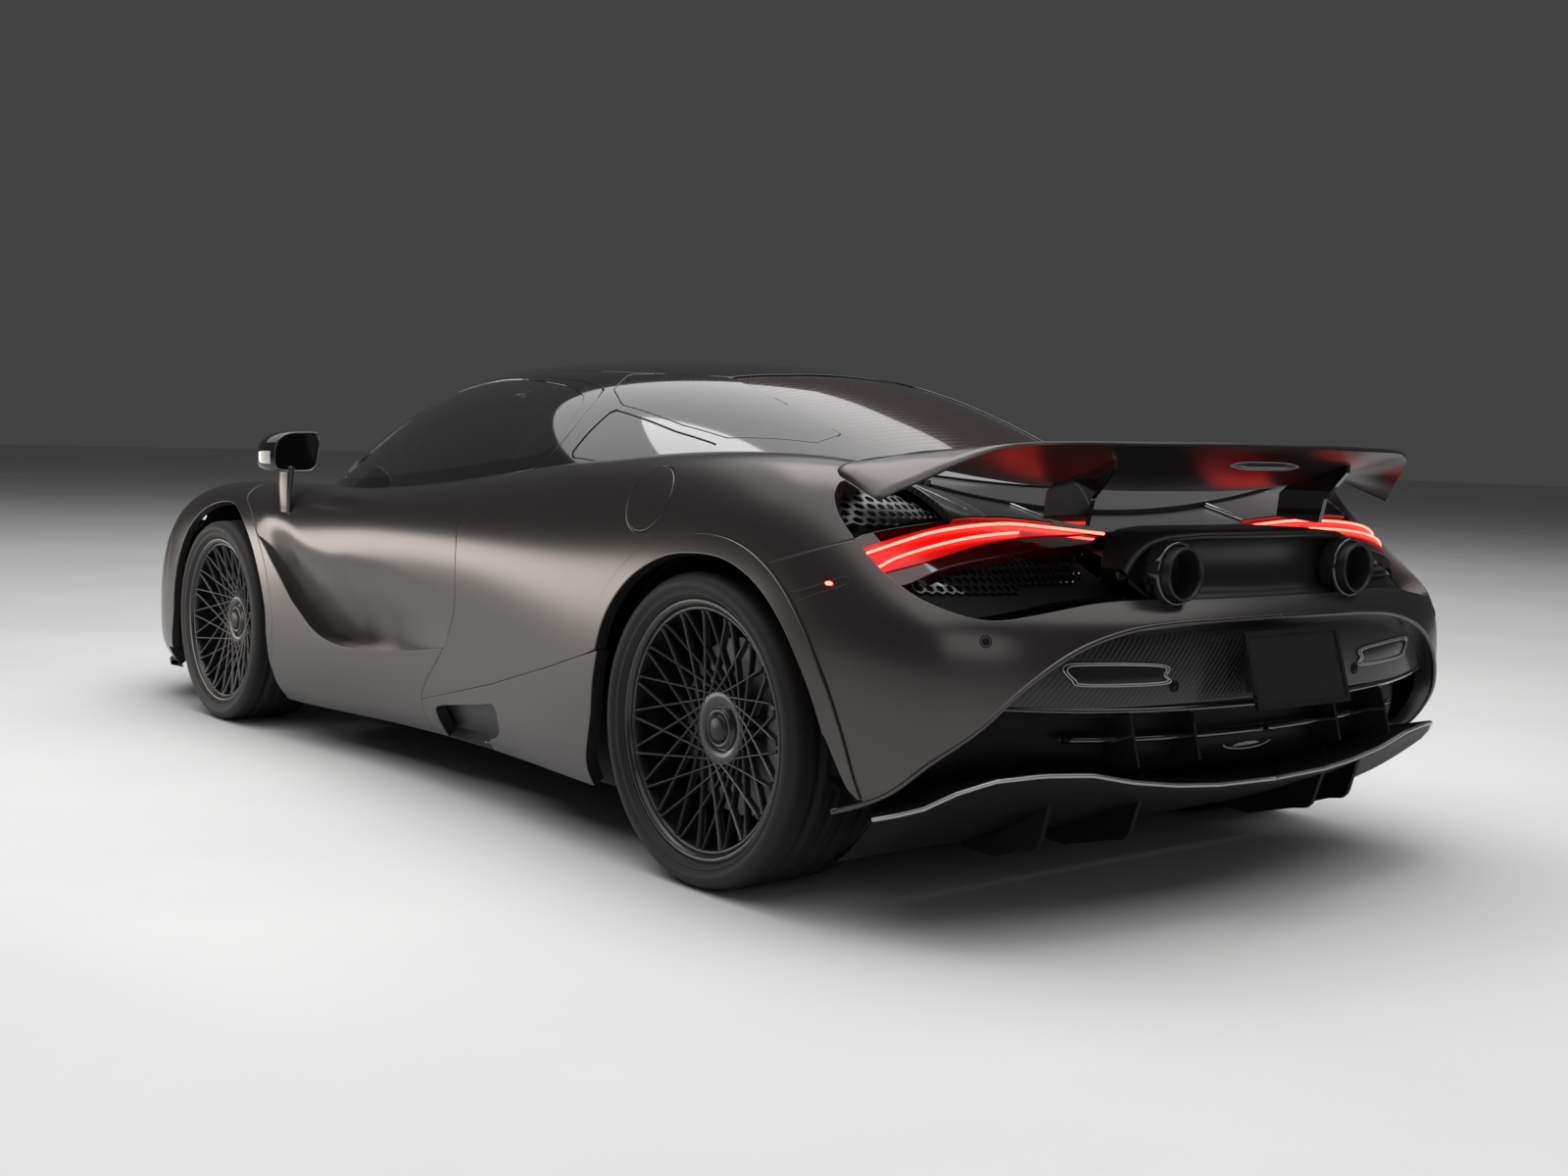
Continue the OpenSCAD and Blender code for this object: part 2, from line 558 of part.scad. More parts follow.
// ---- suspension and wheels ----
module arm(a, b, r) {
  d = b - a; l = norm(d);
  translate(a) rotate([0, acos(d[2] / l), atan2(d[1], d[0])]) cylinder(r = r, h = l, $fn = 24);
}
module wishbones() color(metal) {
  both() {
    for (z = [215, 430]) for (s = [-1, 1]) {
      difference() {
        arm([522, s * 130, z], [735, s * 14, z], 11);
        king_pin(front_track_x, 0, 66.5);
      }
      difference() {
        arm([612, wheelbase + s * 150, z + 10], [722, wheelbase + s * 26, z + 10], 12);
        king_pin(rear_track_x, wheelbase, 66);
      }
    }
  }
}
// round space about a hub carrier's steering axis, 27 mm inboard of the wheel's middle plane
module king_pin(x, y, r) { translate([x - 27, y, 0]) cylinder(r = r, h = 700, $fn = 72); }
module upright(x, w, hub) {
  // hub carrier, stub axle and brake caliper round the disc; x is the disc's middle plane
  difference() {
    union() {
      intersection() {
        translate([x - 94, -44, -150]) cube([42, 88, 290]);
        translate([0, 0, -200]) king_pin(x, 0, 66);
      }
      translate([x - 86, -38, -30]) cube([34, 200, 60]);
      translate([x - 54, 118, -72]) cube([88, 92, 144]);
      translate([x - 60, 118, -30]) cube([10, 44, 60]);
      translate([x - 84, 0, 0]) rotate([0, 90, 0]) cylinder(r = hub, h = w - 8);
    }
    translate([x - 21, 100, -80]) cube([42, 98, 160]);
  }
}
module knuckle(side) color(metal) {
  mirror([side < 0 ? 1 : 0, 0, 0]) translate([0, 0, front_tyre_r]) 
    upright(front_track_x, 140, axle_r - 0.05);
}
module rear_knuckles() color(metal) {
  both() translate([0, wheelbase, rear_tyre_r]) upright(rear_track_x, 160, axle_r - 0.05);
}
module tyre(r, rim, w) color(rubber) {
  // section: tread, shoulders, side walls and bead, about the wheel's own axle
  rotate([0, 90, 0]) rotate_extrude($fn = 96) polygon([[rim - 8, -w * 0.42],
    [rim + 1, -w * 0.42], [rim + 14, -w * 0.47],
    [(rim + r) / 2, -w / 2], [r - 14, -w * 0.47], [r - 2, -w * 0.4], [r, -w * 0.2], [r, w * 0.2],
    [r - 2, w * 0.4], [r - 14, w * 0.47], [(rim + r) / 2, w / 2], [rim + 14, w * 0.47],
    [rim + 1, w * 0.42], [rim - 8, w * 0.42]]);
}
module rim(r, w) color(gloss) {
  // barrel with flanges, dished face, lattice of spokes and hub
  half = w * 0.42 + 6;
  rotate([0, 90, 0]) difference() {
    rotate_extrude($fn = 96) polygon([[r - 8.4, -half + 5], [r, -half + 5], [r, -half], [r - 16, -half],
      [r - 22, -20], [r - 22, half - 40], [r - 40, half - 20], [0.62 * r, half - 48], [70, half - 74],
      [70, 16], [axle_r, 16], [axle_r, half - 62], [70, half - 60], [0.62 * r, half - 34],
      [r - 30, half - 6], [r - 12, half], [r, half], [r, half - 5], [r - 8.4, half - 5]]);
    for (k = [0:spoke_pairs - 1]) rotate([0, 0, k * 360 / spoke_pairs]) {
      translate([0, 0, -w]) linear_extrude(2 * w) {
        polygon([[0.66 * r, 0], [0.9 * r, -0.045 * r], [0.9 * r, 0.045 * r]]);
        polygon([[0.42 * r, 0], [0.5 * r, -0.035 * r], [0.6 * r, 0], [0.5 * r, 0.035 * r]]);
      }
      rotate([0, 0, 180 / spoke_pairs]) translate([0, 0, -w]) linear_extrude(2 * w)
        polygon([[0.56 * r, 0], [0.68 * r, -0.05 * r], [0.86 * r, -0.02 * r], [0.86 * r, 0.02 * r],
          [0.68 * r, 0.05 * r]]);
    }
  }
}
module disc() color(iron) {
  rotate([0, 90, 0]) difference() {
    cylinder(r = disc_r, h = 32, center = true, $fn = 96);
    translate([0, 0, -20]) cylinder(r = 100, h = 28, $fn = 96);
    cylinder(r = axle_r, h = 40, center = true);
  }
}
module front_tyre() { tyre(front_tyre_r, front_rim_r, front_tyre_w); }
module rear_tyre() { tyre(rear_tyre_r, rear_rim_r, rear_tyre_w); }
module front_rim() { rim(front_rim_r, front_tyre_w); }
module rear_rim() { rim(rear_rim_r, rear_tyre_w); }
module on_wheel(side, rear) {
  mirror([side < 0 ? 1 : 0, 0, 0])
    translate([rear ? rear_track_x : front_track_x, rear ? wheelbase : 0,
      rear ? rear_tyre_r : front_tyre_r]) children();
}

// ---- doors ----
module door(side) color(paint) {
  mirror([side < 0 ? 1 : 0, 0, 0]) meshed() difference() {
    intersection() {
      union() { outer_body(); outer_cab(); }
      from_side(door_line, 430, 1100);
    }
    cabin_space();
    cab_skin(30);
    // rear shut face and front tip keep clear of the body as the door swings
    block([300, 1535, 0], [865, 1900, 880]);
    block([300, 0, 0], [760, 330, 812]);
    block([780, 60, 700], [900, 110, 900]);
    roof_cut();
    from_side(window_line, 300, 1100);
    block([300, 0, 0], [810, 2000, 336]);
    block([300, 0, 0], [700, 460, 812]);
    wheel_wells(5);
  }
}
// slanted parting face along the roof rail
module roof_cut() {
  multmatrix([[1, 0, 0, 0], [0, 1, 0, 0], [0.75, 0, 1, -0.75 * 560], [0, 0, 0, 1]])
    from_side([[800, 1400], [800, 1040], [890, 1106], [1000, 1136], [1130, 1150], [1300, 1150],
      [1489, 1134], [1600, 1118], [1728, 1085], [1800, 1040], [1900, 1040], [1900, 1400]], 300, 560);
}
module door_glass(side) color(dark_glass) {
  mirror([side < 0 ? 1 : 0, 0, 0]) meshed() intersection() {
    difference() { cab_skin(2, 2, 3); cab_skin(2 + glass_t, 2, 2); }
    from_side(grown(window_line, -1), 300, 1100);
  }
}
module door_mirror(side) color(gloss) {
  mirror([side < 0 ? 1 : 0, 0, 0]) {
    translate([925, 250, 930]) scale([1, 0.75, 0.62]) sphere(r = 110, $fn = 32);
    arm([850, 175, 765], [915, 225, 900], 14);
  }
}

placed() tub();
placed() cage();
placed() roll_frame();
placed() front_bumper();
placed() fenders();
placed() head_lamps();
placed() windscreen();
placed() roof_panel();
placed() rear_screen();
placed() buttress_panels();
placed() quarter_glasses();
placed() rear_quarters();
placed() engine_cover();
placed() rear_bumper();
placed() rear_lower_panel();
placed() number_plate();
placed() front_beam();
placed() tail_panel();
placed() tail_lamps();
placed() diffuser();
placed() wing();
placed() exhaust_tips();
placed() engine();
placed() seats();
placed() dashboard();
placed() steering_wheel();
placed() side_skirts();
placed() wishbones();
placed() rear_knuckles();
placed() hood();
placed() door(1);  // door_left
placed() door(-1);  // door_right
placed() door_glass(1);  // door_glass_left
placed() door_glass(-1);  // door_glass_right
placed() door_mirror(1);  // mirror_left
placed() door_mirror(-1);  // mirror_right
placed() knuckle(1);  // knuckle_fl
placed() knuckle(-1);  // knuckle_fr
placed() on_wheel(1, false) front_tyre();  // tyre_fl
placed() on_wheel(-1, false) front_tyre();  // tyre_fr
placed() on_wheel(1, true) rear_tyre();  // tyre_rl
placed() on_wheel(-1, true) rear_tyre();  // tyre_rr
placed() on_wheel(1, false) front_rim();  // rim_fl
placed() on_wheel(-1, false) front_rim();  // rim_fr
placed() on_wheel(1, true) rear_rim();  // rim_rl
placed() on_wheel(-1, true) rear_rim();  // rim_rr
placed() on_wheel(1, false) disc();  // disc_fl
placed() on_wheel(-1, false) disc();  // disc_fr
placed() on_wheel(1, true) disc();  // disc_rl
placed() on_wheel(-1, true) disc();  // disc_rr
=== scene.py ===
import bpy
import math
import numpy as np
from mathutils import Matrix, Vector
from mathutils.bvhtree import BVHTree


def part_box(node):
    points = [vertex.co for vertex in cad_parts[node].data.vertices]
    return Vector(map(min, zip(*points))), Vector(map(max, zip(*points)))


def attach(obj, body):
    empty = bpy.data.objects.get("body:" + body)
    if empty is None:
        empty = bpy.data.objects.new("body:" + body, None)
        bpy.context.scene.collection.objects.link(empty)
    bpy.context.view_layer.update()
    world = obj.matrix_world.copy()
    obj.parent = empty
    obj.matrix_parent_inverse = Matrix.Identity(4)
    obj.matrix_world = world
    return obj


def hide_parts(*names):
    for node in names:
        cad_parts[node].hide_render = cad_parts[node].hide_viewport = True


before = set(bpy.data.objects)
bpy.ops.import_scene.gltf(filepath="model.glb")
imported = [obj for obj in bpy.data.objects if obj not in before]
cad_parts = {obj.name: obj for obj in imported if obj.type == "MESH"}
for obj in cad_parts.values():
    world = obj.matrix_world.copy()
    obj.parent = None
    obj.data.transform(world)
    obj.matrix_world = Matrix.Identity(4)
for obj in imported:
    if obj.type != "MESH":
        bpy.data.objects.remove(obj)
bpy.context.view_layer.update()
# the front axle lies this far ahead of the middle of the length, in mm
MID = -500.0 * (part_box("tyre_fl")[0].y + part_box("tyre_fl")[1].y)
V = np.array
REAR = (0, 1, 0)
FRONT_HUB, REAR_HUB = (0, 327), (2670, 344)  # y and z of the wheels' axles, in mm


# ---------------------------------------------------------------- materials
class Socket:
    """A shader node's output that takes arithmetic."""

    def __init__(s, m, out):
        s.m, s.out = m, out

    def op(s, kind, *others):
        return s.m.node("Math", {"operation": kind}, s, *others)

    def rop(s, kind, other):
        return s.m.node("Math", {"operation": kind}, other, s)

    def __add__(s, o): return s.op("ADD", o)
    def __radd__(s, o): return s.rop("ADD", o)
    def __sub__(s, o): return s.op("SUBTRACT", o)
    def __rsub__(s, o): return s.rop("SUBTRACT", o)
    def __mul__(s, o): return s.op("MULTIPLY", o)
    def __rmul__(s, o): return s.rop("MULTIPLY", o)
    def __truediv__(s, o): return s.op("DIVIDE", o)
    def __rtruediv__(s, o): return s.rop("DIVIDE", o)
    def __lt__(s, o): return s.op("LESS_THAN", o)
    def __gt__(s, o): return s.op("GREATER_THAN", o)
    def frac(s): return s.op("FRACT")
    def floor(s): return s.op("FLOOR")
    def sin(s): return s.op("SINE")
    def abs(s): return s.op("ABSOLUTE")
    def low(s, o): return s.op("MINIMUM", o)
    def high(s, o): return s.op("MAXIMUM", o)
    def ramp(s, a, b): return ((s - a) / (b - a)).high(0.0).low(1.0)


class Mat:
    """A principled material whose varying values come from sockets."""

    def __init__(s, name, color=(0.5, 0.5, 0.5), rough=0.5, metal=0.0, **more):
        s.mat = bpy.data.materials.new(name)
        s.mat.use_nodes = True
        s.nt = s.mat.node_tree
        s.bsdf = s.nt.nodes["Principled BSDF"]
        s.mat.diffuse_color = (*color, 1)
        s.set("Base Color", (*color, 1))
        s.set("Roughness", rough)
        s.set("Metallic", metal)
        for k, v in more.items():
            s.set(k.replace("_", " "), v)
        s.object = s.node("TexCoord", out="Object")

    def node(s, kind, settings=None, *values, out=0, **named):
        """any node: its settings, then its inputs, in order or by name, as sockets or values"""
        n = s.nt.nodes.new("ShaderNode" + kind)
        for k, v in (settings or {}).items():
            setattr(n, k, v)
        for key, v in list(enumerate(values)) + list(named.items()):
            i = n.inputs[key if isinstance(key, int) else key.replace("_", " ")]
            if isinstance(v, Socket):
                s.nt.links.new(v.out, i)
            elif v is not None:
                i.default_value = v
        return Socket(s, n.outputs[out])

    def set(s, key, v):
        i = s.bsdf.inputs[key]
        if isinstance(v, Socket):
            s.nt.links.new(v.out, i)
        else:
            i.default_value = v

    def coords(s):
        return [s.node("SeparateXYZ", None, s.object, out=i) for i in range(3)]

    def noise(s, scale, detail=3.0, vec=None):
        return s.node("TexNoise", None, Vector=vec or s.object, Scale=scale, Detail=detail)

    def mix(s, f, a, b):
        a, b = [c if isinstance(c, Socket) else (*c, 1) for c in (a, b)]
        return s.node("Mix", {"data_type": "RGBA"}, f, None, None, None, None, None, a, b, out=2)

    def bump(s, h, strength=0.3, dist=0.001):
        s.set("Normal", s.node("Bump", None, Height=h, Strength=strength, Distance=dist))


def make_paint():
    m = Mat("paint", (0.06, 0.056, 0.056), 0.3, 0.85, Coat_Weight=0.1, Coat_Roughness=0.25)
    n = m.noise(900.0, 2.0)
    m.set("Base Color", m.mix(n.ramp(0.35, 0.7), (0.070, 0.065, 0.064), (0.112, 0.102, 0.099)))
    m.set("Roughness", n * 0.05 + 0.235)
    return m.mat


def make_carbon(name, a, b, cell=0.0035):
    """2 x 2 twill weave in the plane of axes a and b."""
    m = Mat(name, (0.01, 0.01, 0.011), 0.35, 0.0, Coat_Weight=0.35, Coat_Roughness=0.12)
    c = m.coords()
    u, v = c[a] / cell, c[b] / cell
    t = ((u.floor() + v.floor()) * 0.25).frac() < 0.5
    fu, fv = (u.frac() - 0.5).abs(), (v.frac() - 0.5).abs()
    h = fu * t + fv * (1.0 - t)
    m.set("Base Color", m.mix(t, (0.006, 0.006, 0.007), (0.03, 0.03, 0.032)))
    m.set("Roughness", t * 0.22 + 0.28)
    m.bump(1.0 - h, 0.35, 0.0006)
    return m.mat


def plain(name, color, rough, metal=0.0, noise=0.0, scale=400.0, **more):
    m = Mat(name, color, rough, metal, **more)
    n = m.noise(scale, 2.0)
    m.set("Roughness", n * 0.12 + max(0.0, rough - 0.06))
    if noise:
        m.set("Base Color", m.mix(n.ramp(0.3, 0.7), tuple(x * (1 - noise) for x in color),
                                  tuple(min(1, x * (1 + noise)) for x in color)))
    return m.mat


def glass(name, color, trans, rough=0.03):
    m = Mat(name, color, rough, 0.0, Coat_Weight=1.0, Coat_Roughness=0.02)
    m.set("Transmission Weight", trans)
    m.set("IOR", 1.45)
    n = m.noise(3.0)
    m.set("Roughness", n * 0.01 + rough)
    return m.mat


def louvred():
    """dark glass with the brown slats that lie under it"""
    m = Mat("glass_louvred", (0.02, 0.014, 0.01), 0.06, Coat_Weight=1.0, Coat_Roughness=0.02)
    slat = ((m.coords()[1] / 0.021).frac() - 0.5).abs().ramp(0.16, 0.3)
    m.set("Base Color", m.mix(slat, (0.05, 0.022, 0.012), (0.004, 0.004, 0.004)))
    m.set("Roughness", slat * 0.1 + 0.08)
    return m.mat


def glow(name, color, power):
    m = Mat(name, color, 0.3)
    m.set("Emission Color", (*color, 1))
    m.set("Emission Strength", power)
    return m.mat


MATS = {
    "paint": make_paint(),
    "carbon_xy": make_carbon("carbon_xy", 0, 1),
    "carbon_xz": make_carbon("carbon_xz", 0, 2),
    "gloss": plain("gloss_black", (0.008, 0.008, 0.009), 0.08, Coat_Weight=1.0, Coat_Roughness=0.03),
    "black": plain("black_plastic", (0.006, 0.006, 0.006), 0.5, noise=0.15, Specular_IOR_Level=0.12),
    "dark": plain("dark_inside", (0.004, 0.004, 0.004), 0.8),
    "rubber": plain("seal_rubber", (0.01, 0.01, 0.01), 0.65),
    "tyre": plain("tyre_rubber", (0.014, 0.014, 0.014), 0.6, noise=0.2, scale=120.0,
                  Specular_IOR_Level=0.3),
    "wheel": plain("wheel_black", (0.016, 0.016, 0.017), 0.3, 0.3, Coat_Weight=0.3,
                   Coat_Roughness=0.15),
    "disc": plain("disc_iron", (0.2, 0.2, 0.2), 0.42, 0.9),
    "alloy": plain("alloy_cast", (0.3, 0.3, 0.31), 0.45, 0.8, noise=0.15),
    "steel": plain("tip_black", (0.03, 0.03, 0.032), 0.35, 0.7),
    "seat": plain("seat_leather", (0.02, 0.02, 0.022), 0.5, noise=0.2),
    "satin": plain("satin_silver", (0.42, 0.42, 0.43), 0.3, 0.9),
    "plate": plain("plate_black", (0.012, 0.012, 0.013), 0.35),
    "satin_black": plain("satin_black", (0.01, 0.01, 0.01), 0.36, 0.1, Specular_IOR_Level=0.35),
    "comb": plain("comb_steel", (0.12, 0.12, 0.125), 0.35, 0.8),
    "mirror": plain("mirror_glass", (0.03, 0.03, 0.032), 0.04, 0.9),
    "lens": plain("lens_dark", (0.02, 0.02, 0.025), 0.1, Coat_Weight=1.0),
    "tint": glass("glass_tint", (0.10, 0.105, 0.11), 0.85),
    "smoke": glass("glass_smoke", (0.03, 0.03, 0.032), 0.25, 0.05),
    "louvre": louvred(),
    "clear": glass("glass_clear", (0.55, 0.56, 0.58), 0.92),
    "led": glow("led_red", (1.0, 0.07, 0.05), 9.0),
    "white_led": glow("led_white", (0.9, 0.95, 1.0), 2.5),
    "redlens": plain("red_lens", (0.05, 0.001, 0.0015), 0.1, Coat_Weight=1.0),
    "haze": glow("red_haze", (0.6, 0.004, 0.003), 0.35),
}


# ---------------------------------------------------------------- meshes
def place(p):
    """millimetres from the front axle to metres in the car's frame"""
    p = np.asarray(p, float).copy()
    p[..., 1] -= MID
    return p / 1000.0


def mirror(p):
    return np.asarray(p, float) * [-1, 1, 1]


def flipped(parts):
    """the same parts on the car's right"""
    return [(mirror(v), [tuple(reversed(f)) for f in fc], None if n is None else mirror(n))
            for v, fc, n in parts]


def mesh(name, parts, mat, body="chassis", smooth=True, node=None, slot=None):
    """one object from parts: vertices in mm, faces, normals or None; it may stand for a CAD node"""
    vs, fs, ns, base = [], [], [], 0
    for v, fc, n in parts:
        v = np.asarray(v, float).reshape(-1, 3)
        vs.append(v)
        fs += [tuple(int(i) + base for i in f) for f in fc]
        ns.append(np.full_like(v, np.nan) if n is None else np.asarray(n, float).reshape(-1, 3))
        base += len(v)
    vs, ns = np.concatenate(vs), np.concatenate(ns)
    me = bpy.data.meshes.new(name)
    me.from_pydata(place(vs).tolist(), [], fs)
    me.update()
    me.polygons.foreach_set("use_smooth", [smooth] * len(me.polygons))
    if smooth and not np.isnan(ns).all():
        own = np.zeros(len(vs) * 3, np.float32)
        me.vertices.foreach_get("normal", own)
        own = own.reshape(-1, 3)
        bad = np.isnan(ns).any(1)
        ns[bad] = own[bad]
        ns /= np.maximum(np.linalg.norm(ns, axis=1, keepdims=True), 1e-9)
        me.normals_split_custom_set_from_vertices(ns.tolist())
    o = bpy.data.objects.new(name, me)
    bpy.context.scene.collection.objects.link(o)
    me.materials.append(MATS[mat] if isinstance(mat, str) else mat)
    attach(o, body)
    if node:
        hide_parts(node)
    return o


def pair(name, parts, mat, **more):
    """the parts and their mirror image as one object"""
    return mesh(name, list(parts) + flipped(parts), mat, **more)


def grid_faces(r, c, close_r=False, close_c=False):
    out = []
    for i in range(r if close_r else r - 1):
        for j in range(c if close_c else c - 1):
            a, b = i * c + j, i * c + (j + 1) % c
            d, e = ((i + 1) % r) * c + j, ((i + 1) % r) * c + (j + 1) % c
            out.append((a, b, e, d))
    return out


def rows_part(rows, close_r=False, close_c=False):
    """part from a table of points, rows by columns"""
    v = V(rows, float)
    return v.reshape(-1, 3), grid_faces(*v.shape[:2], close_r, close_c), None


def unit(v):
    return v / np.maximum(np.linalg.norm(v, axis=-1, keepdims=True), 1e-9)


def spline(pts, n=8, closed=False):
    """smooth line through the points"""
    p = V(pts, float)
    e = np.concatenate([p[-1:], p, p[:2]]) if closed else np.concatenate(
        [2 * p[:1] - p[1:2], p, 2 * p[-1:] - p[-2:-1]])
    out = []
    for i in range(len(e) - 3):
        for k in range(n):
            t = k / n
            a, b, c, d = e[i:i + 4]
            out.append(0.5 * (2 * b + (c - a) * t + (2 * a - 5 * b + 4 * c - d) * t * t
                              + (3 * b - a - 3 * c + d) * t ** 3))
    if not closed:
        out.append(p[-1])
    return V(out)


def tube(path, r, n=8, caps=True, flat=1.0, up=None, closed=False):
    """round or flattened tube along a path; r may vary"""
    path = V(path, float)
    m = len(path)
    r = np.broadcast_to(r, (m,))
    t = unit(np.gradient(path, axis=0))
    if closed:
        t = unit(np.roll(path, -1, 0) - np.roll(path, 1, 0))
    u0 = V(up if up is not None else [0, 0, 1.0])
    a = unit(np.cross(t, u0) + 1e-9)
    b = unit(np.cross(a, t))
    ang = np.arange(n) * 2 * np.pi / n
    v = (path[:, None] + (a[:, None] * np.cos(ang)[None, :, None]
         + b[:, None] * np.sin(ang)[None, :, None] * flat) * r[:, None, None])
    f = grid_faces(m, n, closed, True)
    if caps and not closed:
        f += [tuple(range(n)), tuple(reversed(range((m - 1) * n, m * n)))]
    return v.reshape(-1, 3), f, None


def revolve(profile, centre, n=96, side=1):
    """profile: (radius, offset along the axle) points; the axle is along x"""
    p = V(profile, float)
    a = np.arange(n) * 2 * np.pi / n
    c, s = np.cos(a), np.sin(a)
    v = np.zeros((len(p), n, 3))
    v[..., 0] = centre[0] + side * p[:, 1][:, None]
    v[..., 1] = centre[1] + p[:, 0][:, None] * c
    v[..., 2] = centre[2] + p[:, 0][:, None] * s
    f = grid_faces(len(p), n, False, True)
    if side > 0:
        f = [tuple(reversed(q)) for q in f]
    return v.reshape(-1, 3), f, None


def crisp(v, faces):
    """part whose faces have their own vertices, so that its edges stay sharp"""
    ends = np.cumsum([0] + [len(f) for f in faces])
    own = [tuple(range(a, b)) for a, b in zip(ends, ends[1:])]
    return V([v[i] for f in faces for i in f]), own, None


def slab(outline, axis, a, b):
    """prism: outline in the plane across axis, from a to b along it"""
    o = V(outline, float)
    n = len(o)
    k = [i for i in range(3) if i != axis]
    v = np.zeros((2 * n, 3))
    v[:n, k], v[n:, k] = o, o
    v[:n, axis], v[n:, axis] = a, b
    f = [tuple(range(n)), tuple(reversed(range(n, 2 * n)))]
    f += [(i, (i + 1) % n, n + (i + 1) % n, n + i) for i in range(n)]
    return crisp(v, f)


def ball(c, r, e=2.4, n=20, m=32):
    """rounded block with half lengths r: e = 2 makes it an ellipsoid, more makes it squarer"""
    def bent(x):
        return np.sign(x) * np.abs(x) ** (2 / e)

    a = np.linspace(-math.pi / 2, math.pi / 2, n)[:, None]
    b = (np.arange(m) * 2 * math.pi / m)[None]
    v = np.stack([bent(np.cos(a)) * bent(np.cos(b)) * r[0], bent(np.cos(a)) * bent(np.sin(b)) * r[1],
                  bent(np.sin(a)) * np.ones_like(b) * r[2]], -1)
    return v.reshape(-1, 3) + V(c), grid_faces(n, m, False, True), None


# ---------------------------------------------------------------- the two smooth skins
SIDE_Y = [-1045, -1015, -900, -680, -380, -40, 300, 640, 1000, 1400, 1800, 2180, 2520, 2850,
          3140, 3370, 3485, 3510]
SIDE_X = [0, 390, 740, 890, 932, 938, 930, 918, 912, 918, 938, 958, 968, 968, 945, 850, 470, 0]


def ring(dx, dy, z):
    dy = dy or [0] * 18
    return [[max(0, SIDE_X[i] - dx[i]) if SIDE_X[i] else 0, SIDE_Y[i] + dy[i], z[i]]
            for i in range(18)]


BODY_NET = V([
    ring([0, 60, 70, 60, 45, 40, 45, 60, 80, 85, 70, 50, 45, 45, 60, 80, 60, 0],
         [30, 25, 20, 10, 0, 0, 0, 0, 0, 0, 0, 0, 0, 0, -10, -30, -40, -40],
         [120, 120, 120, 120, 120, 120, 120, 120, 130, 140, 150, 150, 150, 160, 200, 240, 260, 260]),
    ring([0, 20, 20, 10, 0, 0, 0, 10, 30, 35, 25, 8, 5, 5, 15, 20, 10, 0], None,
         [180, 180, 180, 180, 180, 180, 180, 180, 190, 200, 210, 215, 215, 230, 270, 310, 330, 330]),
    ring([0, 10, 10, 5, 0, 0, 0, 5, 20, 30, 20, 0, 0, 0, 5, 10, 0, 0],
         [-5, -5, 0, 0, 0, 0, 0, 0, 0, 0, 0, 0, 0, 0, 0, 0, 0, 0],
         [270, 270, 270, 270, 290, 300, 290, 280, 280, 290, 300, 310, 320, 340, 370, 400, 410, 410]),
    ring([0, 15, 10, 5, 0, 0, 0, 10, 25, 28, 15, 0, 0, 0, 0, 0, 0, 0], None,
         [360, 370, 380, 400, 430, 440, 430, 420, 420, 430, 440, 450, 460, 480, 500, 520, 530, 530]),
    ring([0, 40, 25, 15, 8, 8, 5, 5, 8, 8, 5, 0, 0, 0, 0, 5, 10, 0],
         [30, 30, 20, 10, 0, 0, 0, 0, 0, 0, 0, 0, 0, 0, -5, -10, -15, -20],
         [430, 445, 470, 510, 560, 580, 570, 560, 560, 570, 580, 590, 600, 610, 625, 630, 630, 630]),
    ring([0, 60, 60, 40, 30, 32, 22, 12, 5, 5, 10, 15, 15, 20, 30, 60, 60, 0],
         [90, 90, 70, 40, 0, 0, 0, 0, 0, 0, 0, 0, 0, 0, -20, -60, -80, -90],
         [490, 505, 545, 610, 680, 710, 695, 680, 690, 700, 715, 730, 745, 745, 740, 710, 690, 690]),
    ring([0, 100, 130, 110, 95, 100, 85, 60, 50, 60, 75, 80, 70, 65, 80, 120, 100, 0],
         [190, 180, 140, 80, 10, 0, 0, 0, 0, 0, 0, 0, 0, 0, -60, -130, -190, -200],
         [535, 555, 610, 690, 755, 782, 780, 770, 785, 810, 845, 870, 885, 880, 850, 790, 760, 755]),
    ring([0, 150, 220, 230, 235, 240, 240, 200, 150, 130, 130, 130, 125, 125, 150, 200, 150, 0],
         [330, 310, 250, 140, 20, 0, 0, 0, 0, 0, 0, 0, 0, 0, -100, -220, -320, -340],
         [585, 600, 640, 710, 775, 795, 795, 795, 815, 845, 890, 925, 948, 955, 935, 860, 810, 800]),
    ring([0, 210, 390, 420, 425, 430, 430, 350, 300, 280, 300, 300, 270, 250, 280, 330, 230, 0],
         [500, 470, 370, 210, 30, 0, 0, 0, 0, 0, 0, 0, 0, 0, -160, -330, -480, -500],
         [620, 630, 655, 690, 725, 745, 760, 790, 820, 850, 895, 925, 940, 940, 920, 870, 840, 830]),
    ring([0, 300, 560, 640, 660, 660, 660, 600, 560, 560, 560, 560, 540, 520, 540, 560, 360, 0],
         [700, 670, 565, 385, 180, 20, 0, 0, 0, 0, 0, 0, 0, -150, -370, -570, -673, -695],
         [662, 663, 666, 675, 695, 724, 760, 800, 830, 850, 890, 910, 910, 905, 898, 890, 884, 882]),
    ring(SIDE_X,
         [900, 875, 770, 575, 330, 40, 0, 0, 0, 0, 0, 0, 0, -310, -585, -798, -901, -920],
         [690, 691, 694, 700, 712, 726, 762, 802, 830, 850, 885, 900, 896, 895, 894, 893, 892, 891]),
], float)


def hoop(x, y, z):
    return [[x[i], y[i], z[i]] for i in range(10)]


